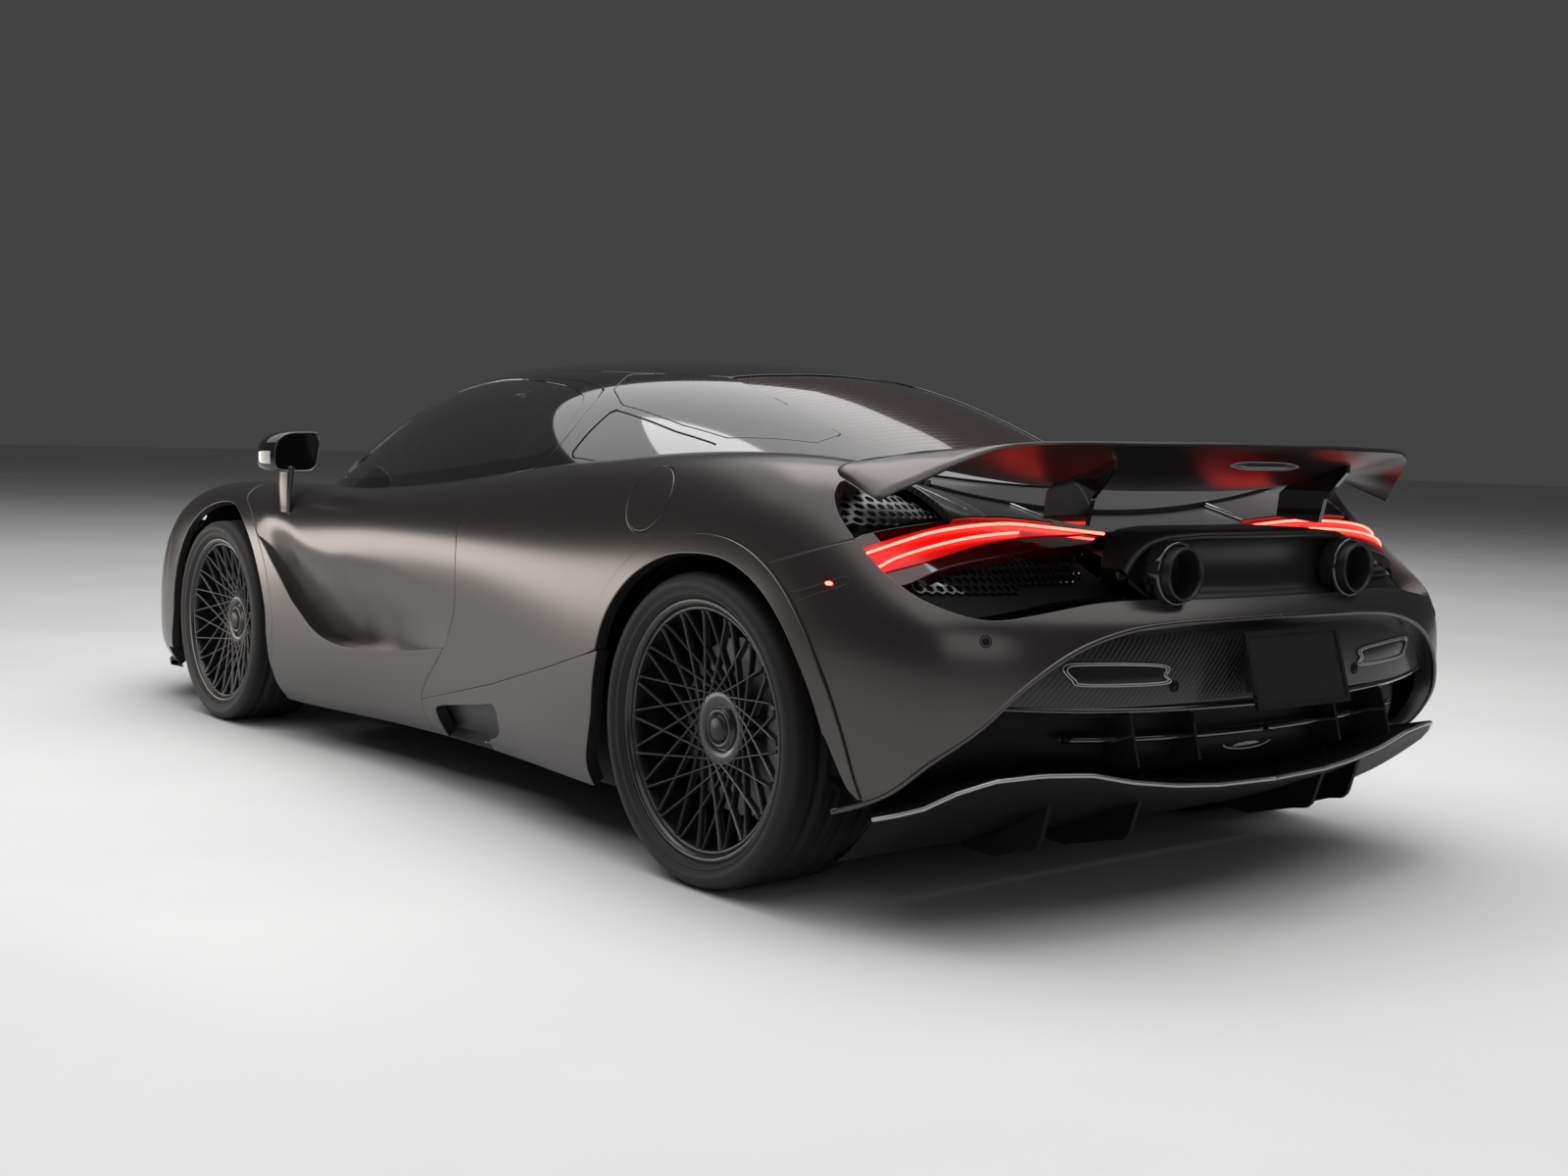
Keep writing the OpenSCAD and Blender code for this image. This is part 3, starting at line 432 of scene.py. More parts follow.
CAB_NET = V([
    hoop([0, 330, 640, 780, 825, 835, 815, 735, 500, 0],
         [-190, -150, 20, 380, 860, 1380, 1900, 2400, 2800, 2900],
         [640, 640, 650, 680, 700, 720, 760, 800, 830, 840]),
    hoop([0, 320, 620, 755, 800, 806, 780, 690, 450, 0],
         [-40, 0, 150, 470, 900, 1390, 1880, 2330, 2690, 2780],
         [740, 740, 750, 790, 815, 835, 860, 885, 895, 900]),
    hoop([0, 305, 585, 715, 760, 765, 735, 630, 400, 0],
         [150, 185, 320, 590, 960, 1400, 1850, 2250, 2560, 2640],
         [850, 852, 862, 890, 910, 925, 940, 950, 950, 950]),
    hoop([0, 285, 535, 655, 700, 703, 672, 570, 360, 0],
         [360, 390, 500, 710, 1020, 1410, 1810, 2160, 2430, 2490],
         [960, 962, 968, 985, 1000, 1010, 1012, 1010, 1006, 1005]),
    hoop([0, 260, 480, 585, 625, 628, 600, 510, 320, 0],
         [570, 595, 680, 840, 1090, 1420, 1760, 2060, 2280, 2330],
         [1060, 1060, 1058, 1066, 1076, 1080, 1076, 1066, 1060, 1060]),
    hoop([0, 230, 415, 500, 530, 530, 505, 430, 270, 0],
         [770, 790, 850, 960, 1160, 1430, 1700, 1930, 2100, 2140],
         [1132, 1129, 1124, 1124, 1130, 1132, 1128, 1121, 1118, 1118]),
    hoop([0, 180, 310, 370, 390, 390, 370, 310, 190, 0],
         [960, 970, 1010, 1090, 1230, 1430, 1620, 1780, 1890, 1920],
         [1178, 1175, 1170, 1168, 1170, 1170, 1167, 1163, 1162, 1163]),
    hoop([0, 90, 150, 180, 190, 190, 180, 150, 90, 0],
         [1130, 1135, 1155, 1200, 1290, 1430, 1540, 1620, 1680, 1695],
         [1197, 1197, 1196, 1194, 1193, 1191, 1189, 1187, 1187, 1188]),
    hoop([0] * 10, [1230, 1235, 1250, 1280, 1330, 1400, 1460, 1500, 1525, 1535],
         [1201, 1201, 1201, 1200, 1200, 1199, 1198, 1196, 1195, 1194]),
], float)


def spread(net, nr, nc):
    """cubic B-spline surface, mirrored across x = 0 at both ends of a ring and at the last ring"""
    flip = V([-1, 1, 1])

    def rows(c, n, first, last):
        e = np.concatenate([first[None], c, last[None]])
        m = len(e) - 3
        t = np.linspace(0, 1, n, endpoint=False)
        b = V([(1 - t) ** 3, 3 * t ** 3 - 6 * t ** 2 + 4, -3 * t ** 3 + 3 * t ** 2 + 3 * t + 1,
               t ** 3]) / 6
        out = [np.tensordot(b, e[i:i + 4], (0, 0)) for i in range(m)]
        out.append(((e[m] + 4 * e[m + 1] + e[m + 2]) / 6)[None])
        return np.concatenate(out)

    s = rows(net, nr, 2 * net[0] - net[1], net[-2] * flip)
    s = s.swapaxes(0, 1)
    s = rows(s, nc, s[1] * flip, s[-2] * flip)
    return s.swapaxes(0, 1)


def normals(s):
    """outward normals of a left-half grid (rows go up, columns go rearward)"""
    flip = V([-1, 1, 1])
    e = np.concatenate([2 * s[:1] - s[1:2], s, s[-2:-1] * flip])
    du = e[2:] - e[:-2]
    e = np.concatenate([s[:, 1:2] * flip, s, s[:, -2:-1] * flip], 1)
    dv = e[:, 2:] - e[:, :-2]
    n = unit(np.cross(dv, du))
    bad = np.linalg.norm(np.cross(dv, du), axis=-1) < 1e-6
    n[bad] = [0, 0, 1]
    return n


class Patch:
    """A triangle mesh with normals and flat coordinates that can be trimmed by signed fields."""

    def __init__(s, p, n, f, q):
        s.p, s.n, s.f, s.q = p, n, f, q  # q: undisplaced place, for the outlines

    @staticmethod
    def of(grid, n=None, q=None):
        r, c = grid.shape[:2]
        n = normals(grid) if n is None else n
        i = np.arange(r - 1)[:, None] * c + np.arange(c - 1)[None]
        a, b, d, e = i, i + 1, i + c, i + c + 1
        f = np.concatenate([np.stack([a, b, e], -1).reshape(-1, 3),
                            np.stack([a, e, d], -1).reshape(-1, 3)])
        q = grid if q is None else q
        return Patch(grid.reshape(-1, 3), n.reshape(-1, 3), f, q.reshape(-1, 3))

    def trim(s, *fields):
        """keeps what lies inside all the fields"""
        for field in fields:
            s = s.cut(field)
        return s

    def cut(s, field):
        """keeps the side where field(q) > 0"""
        v = field(s.q)
        v = np.where(np.abs(v) < 1e-4, 1e-4, v)
        k = v[s.f] > 0
        cnt = k.sum(1)
        keep = s.f[cnt == 3]
        new_p, new_n, new_q, faces = [], [], [], [keep]
        base = len(s.p)
        cache = {}

        def crossing(a, b):
            key = (a, b) if a < b else (b, a)
            if key not in cache:
                t = v[key[0]] / (v[key[0]] - v[key[1]])
                cache[key] = base + len(new_p)
                new_p.append(s.p[key[0]] * (1 - t) + s.p[key[1]] * t)
                new_n.append(s.n[key[0]] * (1 - t) + s.n[key[1]] * t)
                new_q.append(s.q[key[0]] * (1 - t) + s.q[key[1]] * t)
            return cache[key]

        extra = []
        split = (cnt == 1) | (cnt == 2)
        for tri, kk, c in zip(s.f[split], k[split], cnt[split]):
            j = int(np.argmax(kk)) if c == 1 else int(np.argmin(kk))
            a, b, d = int(tri[j]), int(tri[(j + 1) % 3]), int(tri[(j + 2) % 3])
            e, g = crossing(a, b), crossing(a, d)
            if c == 1:
                extra.append((a, e, g))
            else:
                extra += [(e, b, d), (e, d, g)]
        if extra:
            faces.append(V(extra))
        f = np.concatenate(faces).astype(int)
        p = np.concatenate([s.p, V(new_p).reshape(-1, 3)])
        n = np.concatenate([s.n, V(new_n).reshape(-1, 3)])
        q = np.concatenate([s.q, V(new_q).reshape(-1, 3)])
        used = np.unique(f)
        m = np.full(len(p), -1)
        m[used] = np.arange(len(used))
        return Patch(p[used], unit(n[used]), m[f], q[used])

    def moved(s, d):
        """offset along the normals; d a number or one per vertex"""
        d = np.broadcast_to(d, (len(s.p),))
        return Patch(s.p + s.n * d[:, None], s.n, s.f, s.q)

    def edges(s):
        """directed boundary edges"""
        e = np.concatenate([s.f[:, [0, 1]], s.f[:, [1, 2]], s.f[:, [2, 0]]])
        key = e.min(1).astype(np.int64) * (len(s.p) + 1) + e.max(1)
        _, inv, cnt = np.unique(key, return_inverse=True, return_counts=True)
        return e[cnt[inv.ravel()] == 1]

    def skirt(s, r=2.0, depth=14.0):
        """rounded edge and return flange along the boundary"""
        e = s.edges()
        # the halves meet at x = 0: no flange there
        e = e[~((np.abs(s.q[e[:, 0], 0]) < 0.5) & (np.abs(s.q[e[:, 1], 0]) < 0.5))]
        ids = np.unique(e)
        m = np.full(len(s.p), -1)
        m[ids] = np.arange(len(ids))
        out = np.zeros((len(ids), 3))
        for a, b in e:
            t = s.p[b] - s.p[a]
            w = np.cross(t, s.n[a])
            out[m[a]] += w
            out[m[b]] += np.cross(t, s.n[b])
        n = s.n[ids]
        out = out - (out * n).sum(1, keepdims=True) * n
        out = unit(out)
        p = s.p[ids]
        c = p - n * r
        rows, nn = [], []
        for k in range(4):
            a = k * math.pi / 6
            nn.append(n * math.cos(a) + out * math.sin(a))
            rows.append(c + nn[-1] * r)
        d = depth(s.q[ids])[:, None] if callable(depth) else depth
        rows.append(c + out * r - n * d)
        nn.append(out)
        h = len(rows)
        v = np.concatenate(rows)
        w = np.concatenate(nn)
        f = []
        L = len(ids)
        for a, b in e:
            a, b = m[a], m[b]
            for k in range(h - 1):
                f.append((k * L + b, k * L + a, (k + 1) * L + a, (k + 1) * L + b))
        return v, f, w

    def solid(s, r=2.0, depth=14.0):
        return [(s.p, [tuple(t) for t in s.f], s.n), s.skirt(r, depth)]


def signed(poly, axes, smooth=0):
    """field of signed distance to a closed outline, positive inside"""
    poly = V(poly, float)
    if smooth:
        poly = spline(poly, smooth, True)
    a, b = poly, np.roll(poly, -1, 0)
    d = b - a
    l2 = (d * d).sum(1)

    def field(q):
        x = q[:, axes]
        best = np.full(len(x), 1e9)
        inside = np.zeros(len(x), bool)
        for i in range(len(a)):
            if l2[i] < 1e-9:
                continue
            t = np.clip(((x - a[i]) @ d[i]) / l2[i], 0, 1)
            best = np.minimum(best, np.hypot(*(x - a[i] - t[:, None] * d[i]).T))
            y0, y1 = a[i, 1], b[i, 1]
            hit = (y0 > x[:, 1]) != (y1 > x[:, 1])
            xc = a[i, 0] + (x[:, 1] - y0) / (y1 - y0 if y1 != y0 else 1e-9) * d[i, 0]
            inside ^= hit & (x[:, 0] < xc)
        return np.where(inside, best, -best)
    return field


SIDE, TOP, BACK = [1, 2], [0, 1], [0, 2]


def inner(f, g=0.0):
    """the field f drawn in by g"""
    return lambda q: f(q) - g


def outer(f, g=0.0):
    """what lies outside the field f by more than g"""
    return lambda q: -f(q) - g


body_grid = spread(BODY_NET, 11, 14)
cab_grid = spread(CAB_NET, 12, 18)


def tree_of(g):
    r, c = g.shape[:2]
    v = np.concatenate([g.reshape(-1, 3), mirror(g.reshape(-1, 3))])
    f = grid_faces(r, c)
    n = r * c
    return BVHTree.FromPolygons(v.tolist(), f + [tuple(n + i for i in q) for q in f])


cab_tree, body_tree = tree_of(spread(CAB_NET, 8, 10)), tree_of(spread(BODY_NET, 8, 10))


def height(tree, miss):
    def f(q):
        out = np.empty(len(q))
        for i, (x, y, z) in enumerate(q):
            h = tree.ray_cast((x, y, 2000), (0, 0, -1))[0]
            out[i] = h[2] if h is not None else miss
        return out
    return f


cab_top, body_top = height(cab_tree, -500.0), height(body_tree, 0.0)


def sym(pts):
    return pts + [[-x, y] for x, y in reversed(pts)]


# ---------------------------------------------------------------- outlines, in mm
door = signed([
    [396, 90], [800, 90], [1290, 90], [1343, 254], [1469, 381], [1550, 481], [1573, 560], [1575, 663],
    [1560, 738], [1600, 800], [1640, 850], [1745, 893], [1772, 960], [1765, 1010], [1728, 1085],
    [1600, 1118], [1489, 1134], [1300, 1150], [1130, 1150], [1000, 1136], [890, 1106], [770, 1022],
    [620, 916], [480, 840], [330, 812], [110, 806], [110, 742], [202, 698], [290, 628], [352, 560],
    [398, 470], [424, 380], [428, 300], [420, 220]], SIDE, 3)
window = signed([
    [520, 812], [1100, 846], [1590, 898], [1725, 922], [1748, 960], [1738, 1010], [1700, 1062],
    [1600, 1092], [1489, 1106], [1300, 1120], [1140, 1120], [1010, 1104], [910, 1076], [785, 992],
    [640, 890]], SIDE, 4)
front_arch_line = [
    [-400, 0], [385, 0], [385, 330], [365, 430], [320, 520], [255, 600], [165, 665], [60, 710],
    [-50, 715], [-170, 690], [-270, 630], [-340, 545], [-385, 440], [-400, 330]]
rear_arch_line = [
    [2285, 0], [3140, 0], [3135, 200], [3125, 300], [3095, 405], [3050, 505], [2980, 605], [2890, 678],
    [2780, 720], [2660, 726], [2550, 708], [2435, 650], [2350, 560], [2306, 450], [2290, 330]]
front_arch, rear_arch = signed(front_arch_line, SIDE, 5), signed(rear_arch_line, SIDE, 5)
lid = signed(sym([
    [0, -905], [250, -890], [430, -820], [540, -700], [590, -540], [612, -380], [610, -260],
    [560, -190], [300, -215], [0, -235]]), TOP, 3)
screen = signed(sym([
    [0, -400], [400, -400], [600, -100], [668, 220], [640, 430], [545, 640], [440, 810], [330, 900],
    [0, 925]]), TOP, 4)
roof = signed(sym([
    [0, 930], [332, 905], [425, 905], [450, 1130], [470, 1420], [450, 1700], [330, 1960],
    [0, 1975]]), TOP, 2)
back = signed(sym([[0, 1980], [328, 1966], [345, 2180], [345, 2440], [310, 2540], [0, 2600]]), TOP, 2)
buttress = signed([
    [334, 1962], [470, 1700], [560, 1760], [600, 1860], [586, 2110], [560, 2260], [430, 2440],
    [350, 2440], [350, 2180]], TOP)
quarter = signed([
    [740, 1835], [730, 1950], [690, 2120], [640, 2250], [588, 2256], [608, 2110], [618, 1850]], TOP)
recess = signed(sym([
    [0, 668], [250, 668], [346, 671], [503, 667], [649, 648], [731, 637], [787, 644], [841, 673],
    [868, 719], [875, 771], [870, 830], [845, 880], [800, 905], [560, 1000], [0, 1000]]), BACK, 4)
tail_edge = signed(sym([
    [0, 628], [185, 627], [464, 613], [587, 579], [692, 516], [776, 432], [843, 362], [880, 290],
    [905, 240], [960, 0], [0, 0]]), BACK, 4)
head_lamp = signed([
    [560, -905], [700, -850], [800, -760], [850, -640], [838, -560], [760, -600], [680, -680],
    [600, -790]], TOP, 3)
deck = signed(sym([[0, 2250], [420, 2450], [480, 2700], [560, 2900], [600, 3300], [0, 3300]]), TOP)
haunch = signed([
    [1200, 230], [1338, 236], [1762, 331], [2092, 416], [2300, 476], [2600, 600], [2887, 712],
    [3096, 780], [3200, 820], [3200, 1000], [1200, 1000]], SIDE)
roof_cut_side = signed([
    [600, 1400], [600, 860], [770, 1015], [890, 1106], [1000, 1136], [1130, 1150], [1300, 1150],
    [1489, 1134], [1600, 1118], [1728, 1085], [1800, 1040], [1900, 1040], [1900, 1400]], SIDE)
blade = V([
    [250, 680], [291, 626], [352, 592], [400, 556], [460, 512], [505, 473], [550, 436], [602, 407],
    [660, 372], [726, 348], [790, 336], [876, 330], [1000, 336], [1171, 351], [1310, 366], [1451, 387],
    [1600, 405]], float)


def roof_cut(q):
    k = q.copy()
    k[:, 2] -= 0.75 * (q[:, 0] - 560)
    f = roof_cut_side(k)
    return np.where(q[:, 0] < 640, f, -500.0)


def wells(q, g=0.0):
    """positive inside the wheel wells, grown by g"""
    a = np.minimum(front_arch(q) + g, q[:, 0] - 520 + g)
    b = np.minimum(rear_arch(q) + g, q[:, 0] - 610 + g)
    return np.maximum(a, b)


def half(axis, at, side=1):
    """everything beyond a plane across the axis"""
    return lambda q: (q[:, axis] - at) * side


def above_blade(q):
    """positive above the edge that runs along the foot of the door's channel"""
    return (q[:, 2] - np.interp(q[:, 1], blade[:, 0], blade[:, 1])) * 0.8


n_grid = normals(body_grid)
sunk_trees = {}


def inset(d):
    """the body's skin sunk by d"""
    return Patch.of(body_grid - n_grid * d, n_grid)


def on_skin(start, way, d, missed):
    """where a ray meets the skin sunk by d, or the place to take if it misses"""
    if d not in sunk_trees:
        sunk_trees[d] = tree_of(body_grid - n_grid * d)
    hit = sunk_trees[d].ray_cast(start, way)[0]
    return V(missed) if hit is None else V(hit)


def on_top(x, y, d):
    return on_skin((x, y, 3000), (0, 0, -1), d, (x, y, 500))


def on_side(y, z, d):
    return on_skin((3000, y, z), (-1, 0, 0), d, (800, y, z))


def on_nose(x, z, d):
    return on_skin((x, -3000, z), (0, 1, 0), d, (x, -700, z))


def on_tail(x, z, d):
    return on_skin((x, 5000, z), (0, -1, 0), d, (x, 2900, z))


def bead(on, line, d, r, n=8, steps=8, **more):
    """tube along a smooth line on the skin sunk by d; on is one of the four functions above"""
    line = spline(line, steps, more.get("closed", False))
    return tube([on(u, w, d) for u, w in line], r, n, **more)


# ---------------------------------------------------------------- body panels
def clear_of_cab(q):
    """positive where the body's skin stands above the cab's"""
    return q[:, 2] - cab_top(q) - 1


open_body = Patch.of(body_grid).trim(clear_of_cab)

# scooped channel along the door above the blade: deepest in the middle, running out at both ends
chan_y = [250, 291, 400, 520, 700, 900, 1100, 1300, 1440, 1520]
chan_d = [0, 2, 26, 46, 62, 66, 52, 26, 8, 0]
chan_h = [60, 80, 150, 215, 265, 280, 260, 215, 170, 150]


def channel(q):
    """how far the skin moves out, below zero in the channel"""
    t = (q[:, 2] - np.interp(q[:, 1], blade[:, 0], blade[:, 1])) / np.interp(q[:, 1], chan_y, chan_h)
    t = np.clip(t, 0, 1)
    return -np.interp(q[:, 1], chan_y, chan_d) * (1 - t) ** 2 * (1 + 2 * t)


sunk_grid = body_grid + n_grid * channel(body_grid.reshape(-1, 3)).reshape(
    body_grid.shape[:2])[..., None]
sunk = Patch.of(sunk_grid, q=body_grid).trim(clear_of_cab)

G = 2.5  # half a shut line


def panel(name, patch, mat, depth=14.0, r=2.5, **more):
    """a skin with rounded edges and return flanges of some depth, and its mirror image"""
    return pair(name, patch.solid(r, depth), mat, **more)


def one_side(parts, side):
    return parts if side > 0 else flipped(parts)


mouth = signed(sym([[0, 178], [330, 182], [415, 225], [372, 318], [0, 332]]), BACK, 12)
cheek_line = [[505, 190], [740, 205], [818, 262], [790, 372], [640, 345], [515, 285]]
cheek = signed(cheek_line, BACK, 12)


def intakes(q):
    """positive inside the openings of the nose"""
    k = np.abs(q) * [1, 0, 1] + q * [0, 1, 0]
    return np.where(q[:, 1] < -560, np.maximum(mouth(k), cheek(k)), -500.0)


nose = open_body.trim(
    half(1, -498, -1), lambda q: np.maximum(-lid(q) - G, 556 - q[:, 2]), outer(intakes),
    lambda q: np.where(q[:, 2] > 420, -head_lamp(q) - G, 50.0), outer(wells))
panel("front_bumper_skin", nose, "paint", 24.0, node="front_bumper", slot="paint")
throat = inset(58).trim(inner(intakes, -30), half(1, -560, -1))
panel("nose_throat", throat, "black", 6.0)
vanes = [[on_nose(x, z + (x - 505) * 0.12, 34) for x in np.linspace(512, 806, 16)]
         for z in (232, 268, 304)]
vanes += [[on_nose(x, z, 36) for x in np.linspace(0, 392, 20)] for z in (216, 254, 292)]
vanes = [tube(vane, 5, 8, up=REAR, flat=2.4) for vane in vanes]
pair("nose_vanes", vanes, "gloss")
pair("nose_cheek_rims", [bead(on_nose, cheek_line, 5, 5, up=REAR, closed=True)], "gloss")
lip_rows = []
for x in np.linspace(0, 868, 30):
    p = on_nose(x, 150, 0)
    lip_rows.append([[x, p[1] + dy, z] for dy, z in ((120, 116), (2, 112), (-6, 116), (-6, 122),
                                                     (4, 128), (60, 134))])
pair("front_splitter", [rows_part(lip_rows, False, True)], "carbon_xy")
strip = spline([[566, -880], [690, -838], [790, -745], [838, -640], [830, -580]], 8)
pair("head_lamp_strip", [tube([on_top(x * 0.985, y + 6, 7) for x, y in strip], 5, 8)], "white_led")
pods = [ball(on_top(x, y, 26), (r, r, r * 0.8)) for x, y, r in ((650, -792, 26), (730, -712, 30),
                                                              (776, -640, 24))]
pair("head_lamp_pods", pods, "comb")
lamp = open_body.moved(-9).trim(inner(head_lamp, G), half(2, 430))
panel("head_lamp_lens", lamp.moved(6), "clear", 4.0, r=0.5, node="head_lamps", slot="lens_dark")
panel("head_lamp_bowl", lamp.moved(-42), "gloss", 10.0)
bonnet = open_body.trim(inner(lid, G), half(2, 560))
panel("front_lid_skin", bonnet, "paint", 20.0, body="hood", node="hood", slot="paint")
fender = open_body.trim(half(1, -493), half(1, 520, -1), half(0, 545), outer(lid, G), outer(door, G),
                        outer(wells), lambda q: np.maximum(q[:, 2] - 190, q[:, 1] - 500))
panel("fender_skin", fender, "paint", 20.0, node="fenders", slot="paint")


def cowl_front(q):
    """positive on the dark strip that follows the windscreen's foot"""
    return q[:, 1] + 128 - 90 * (q[:, 0] / 541) ** 2


cowl = open_body.trim(half(0, 541, -1), half(1, -250), half(1, 600, -1), outer(lid, G))
panel("cowl_skin", cowl.moved(4).trim(outer(cowl_front, G)), "paint", 16.0)
panel("cowl_trim", cowl.moved(-4).trim(cowl_front), "black", 10.0)

lower_door = open_body.trim(inner(door, G), outer(above_blade), lambda q: -wells(q, 5))
upper_door = sunk.trim(inner(door, G), above_blade, lambda q: -wells(q, 5), outer(window))


def blade_depth(q):
    return np.where(np.abs(above_blade(q)) < 3, 74.0, 16.0)


cab = Patch.of(cab_grid).trim(lambda q: q[:, 2] - body_top(q))
door_frame = cab.trim(inner(door, G), outer(window), outer(roof_cut, G))
side_glass = cab.trim(inner(window, 1.0)).moved(-3)
for side, k in ((1, "left"), (-1, "right")):
    bn = "door_" + k[0]
    skin = lower_door.solid(2.5, blade_depth) + upper_door.solid(2.0, 16.0)
    mesh("door_skin_" + k, one_side(skin, side), "paint", bn, node="door_" + k, slot="paint")
    mesh("door_frame_" + k, one_side(door_frame.solid(2.0, 22.0), side), "gloss", bn)
    mesh("side_glass_" + k, one_side(side_glass.solid(1.0, 5.0), side), "tint", bn,
         node="door_glass_" + k, slot="glass_tint")

FLAP_AT, FLAP_R, FLAP_GAP = V([908, 2440, 833.0]), 82.0, 3.5


def flap(q):
    return FLAP_R - np.linalg.norm(q - FLAP_AT, axis=1)


def quarter_depth(q):
    return np.where((np.abs(recess(q)) < 6) & (q[:, 1] > 3000), 60.0,
                    np.where(np.abs(deck(q)) < 6, 40.0, 16.0))


def outside_recess(q):
    return np.where(q[:, 1] > 2990, -recess(q), 50.0)


BAND = 38  # width of the band around the rear arch
haunches = open_body.trim(half(1, 1290), half(0, 345), inner(haunch, G), outer(door, G), outer(deck, G),
                          outside_recess, outer(rear_arch, BAND))
panel("rear_quarter_skin", haunches.trim(outer(flap, FLAP_GAP)), "paint", quarter_depth,
      node="rear_quarters", slot="paint")
panel("fuel_flap", haunches.trim(inner(flap, FLAP_GAP)), "paint", 10.0)


def tail_corner(q):
    """rounds the tail's lower front corner behind the arch"""
    return q[:, 2] - np.interp(q[:, 1], [3100, 3126, 3136, 3156, 3186, 3230],
                               [400, 352, 318, 286, 266, 256])


band = open_body.trim(half(1, 1290), lambda q: np.maximum(haunch(q) - G, q[:, 1] - 2792),
                      inner(rear_arch, -BAND), outer(rear_arch), tail_corner)
panel("rear_arch_band", band.moved(6.0), "paint", 26.0)


def tail_depth(q):
    d = np.where(np.abs(recess(q)) < 6, 60.0, 18.0)
    return np.where(np.abs(tail_edge(q)) < 6, 44.0, d)


tail = open_body.trim(half(1, 2790), outer(haunch, G), outside_recess, outer(tail_edge), half(2, 258),
                      outer(rear_arch, BAND), tail_corner)
panel("rear_bumper_skin", tail, "paint", tail_depth, node="rear_bumper", slot="paint")
scoop = signed([
    [1415, 0], [1415, 190], [1424, 228], [1560, 252], [1700, 272], [1765, 283], [1792, 268],
    [1798, 220], [1776, 198], [1720, 178], [1690, 168], [1690, 0]], SIDE, 8)
skirt = open_body.trim(half(1, 1296), half(1, 2330, -1), outer(haunch, G), outer(door, G), outer(wells),
                       outer(scoop))
panel("scoop_wall", inset(38).trim(inner(scoop, -20.0), half(2, 150)), "satin_black", 8.0)
pair("scoop_lip", [bead(on_side, [[1640, 160], [1700, 171], [1750, 186], [1790, 206]], 6,
                        [3] * 4 + [5] * 10 + [3] * 5, 8, 6, flat=1.4)], "paint")
panel("side_skirt_skin", skirt, "paint", 30.0, node="side_skirts", slot="paint")

marker_line = [
    [2986, 668], [3020, 676], [3084, 699], [3112, 707], [3121, 700], [3110, 690], [3070, 676],
    [3004, 650]]
pair("marker_pocket", [bead(on_side, marker_line, 0.3, 1.5, 6, 6)], "rubber")
pair("side_marker_lamp", [ball(on_side(3079, 693, -1), (5, 9, 4))], "led")

# the front liners leave the side by the doors open, where the doors swing past
front_line = [[20, 712]] + front_arch_line[8:] + [[-400, 190]]
rear_line = [[3136, 300], [3125, 320]] + rear_arch_line[4:] + [[2286, 190]]
liners = []
for line, hub, x0, x1 in ((front_line, FRONT_HUB, 575, 862), (rear_line, REAR_HUB, 660, 885)):
    line, hub = spline(line, 4), V(hub)
    away = (line - hub) / np.linalg.norm(line - hub, axis=1)[:, None]
    liners.append(slab(np.concatenate([line + away * 5, (line + away * 9)[::-1]]).tolist(), 0, x0, x1))
pair("wheel_arch_liners", liners, "black", smooth=False)

# ---------------------------------------------------------------- glass and roof
glasshouse = [("windscreen_glass", screen, "tint", "windscreen", "glass_tint", -3, 6),
              ("roof_skin", roof, "gloss", "roof_panel", "gloss_black", 0, 20),
              ("rear_screen_glass", back, "louvre", "rear_screen", "glass_dark", -4, 8),
              ("buttress_skin", buttress, "gloss", "buttress_panels", "glass_dark", 0, 12),
              ("quarter_glass", quarter, "smoke", "quarter_glasses", "glass_tint", -3, 6)]


def beside_doors(q):
    return np.maximum(-door(q) - G, roof_cut(q) - G)


rest = cab.trim(beside_doors)
for name, line, mat, node, slot, off, dep in glasshouse:
    pane = cab.trim(inner(line, 2.0), beside_doors)
    panel(name, pane.moved(off), mat, float(dep), node=node, slot=slot, r=1.5)
    rest = rest.trim(outer(line, 2.0))
panel("roof_rails", rest, "gloss", 20.0, r=1.5)

# ---------------------------------------------------------------- tail
cover = open_body.moved(-6).trim(inner(deck, 3.0), half(1, 2996, -1))
panel("engine_deck", cover, "carbon_xy", 14.0, node="engine_cover", slot="carbon")
TIP_AT = (298, 3270, 723)  # foot of the left exhaust tip


def beside_tips(q):
    return np.hypot(np.abs(q[:, 0]) - TIP_AT[0], q[:, 2] - TIP_AT[2]) - 60


panel("tail_mesh", inset(58).trim(recess, half(1, 2990), beside_tips), "black", 10.0,
      node="tail_panel", slot="black_plastic")
rows = []
for x in np.linspace(0, 404, 30):
    top = np.interp(x, [0, 200, 300, 350, 385, 404], [806, 806, 800, 786, 760, 728])
    low = np.interp(x, [0, 300, 350, 404], [669, 671, 678, 712])
    y = 3426 - 34 * (x / 404) ** 2
    rows.append([[x, y - 70 - 120 * (1 - (x / 404) ** 3), top + 3],
                 [x, y - 60, top + 3], [x, y - 14, top + 1], [x, y - 3, top - 4],
                 [x, y, top - 10], [x, y - 6, top - 16], [x, y - 24, top - 22],
                 [x, y - 30, (top + low) / 2], [x, y - 26, low + 22], [x, y - 12, low + 8],
                 [x, y + 2, low + 1], [x, y + 4, low - 8]])
pair("tail_bench", [rows_part(rows)], "satin_black")
lamp_plan = signed([
    [864, 764], [820, 794], [728, 811], [622, 820], [495, 821], [374, 812], [263, 801], [180, 790],
    [300, 770], [500, 762], [650, 748], [760, 728], [850, 690], [872, 712]], BACK, 3)
panel("tail_lamp_lens", inset(30).trim(lamp_plan, half(1, 3000)), "redlens", 24.0,
      node="tail_lamps", slot="lamp_red")

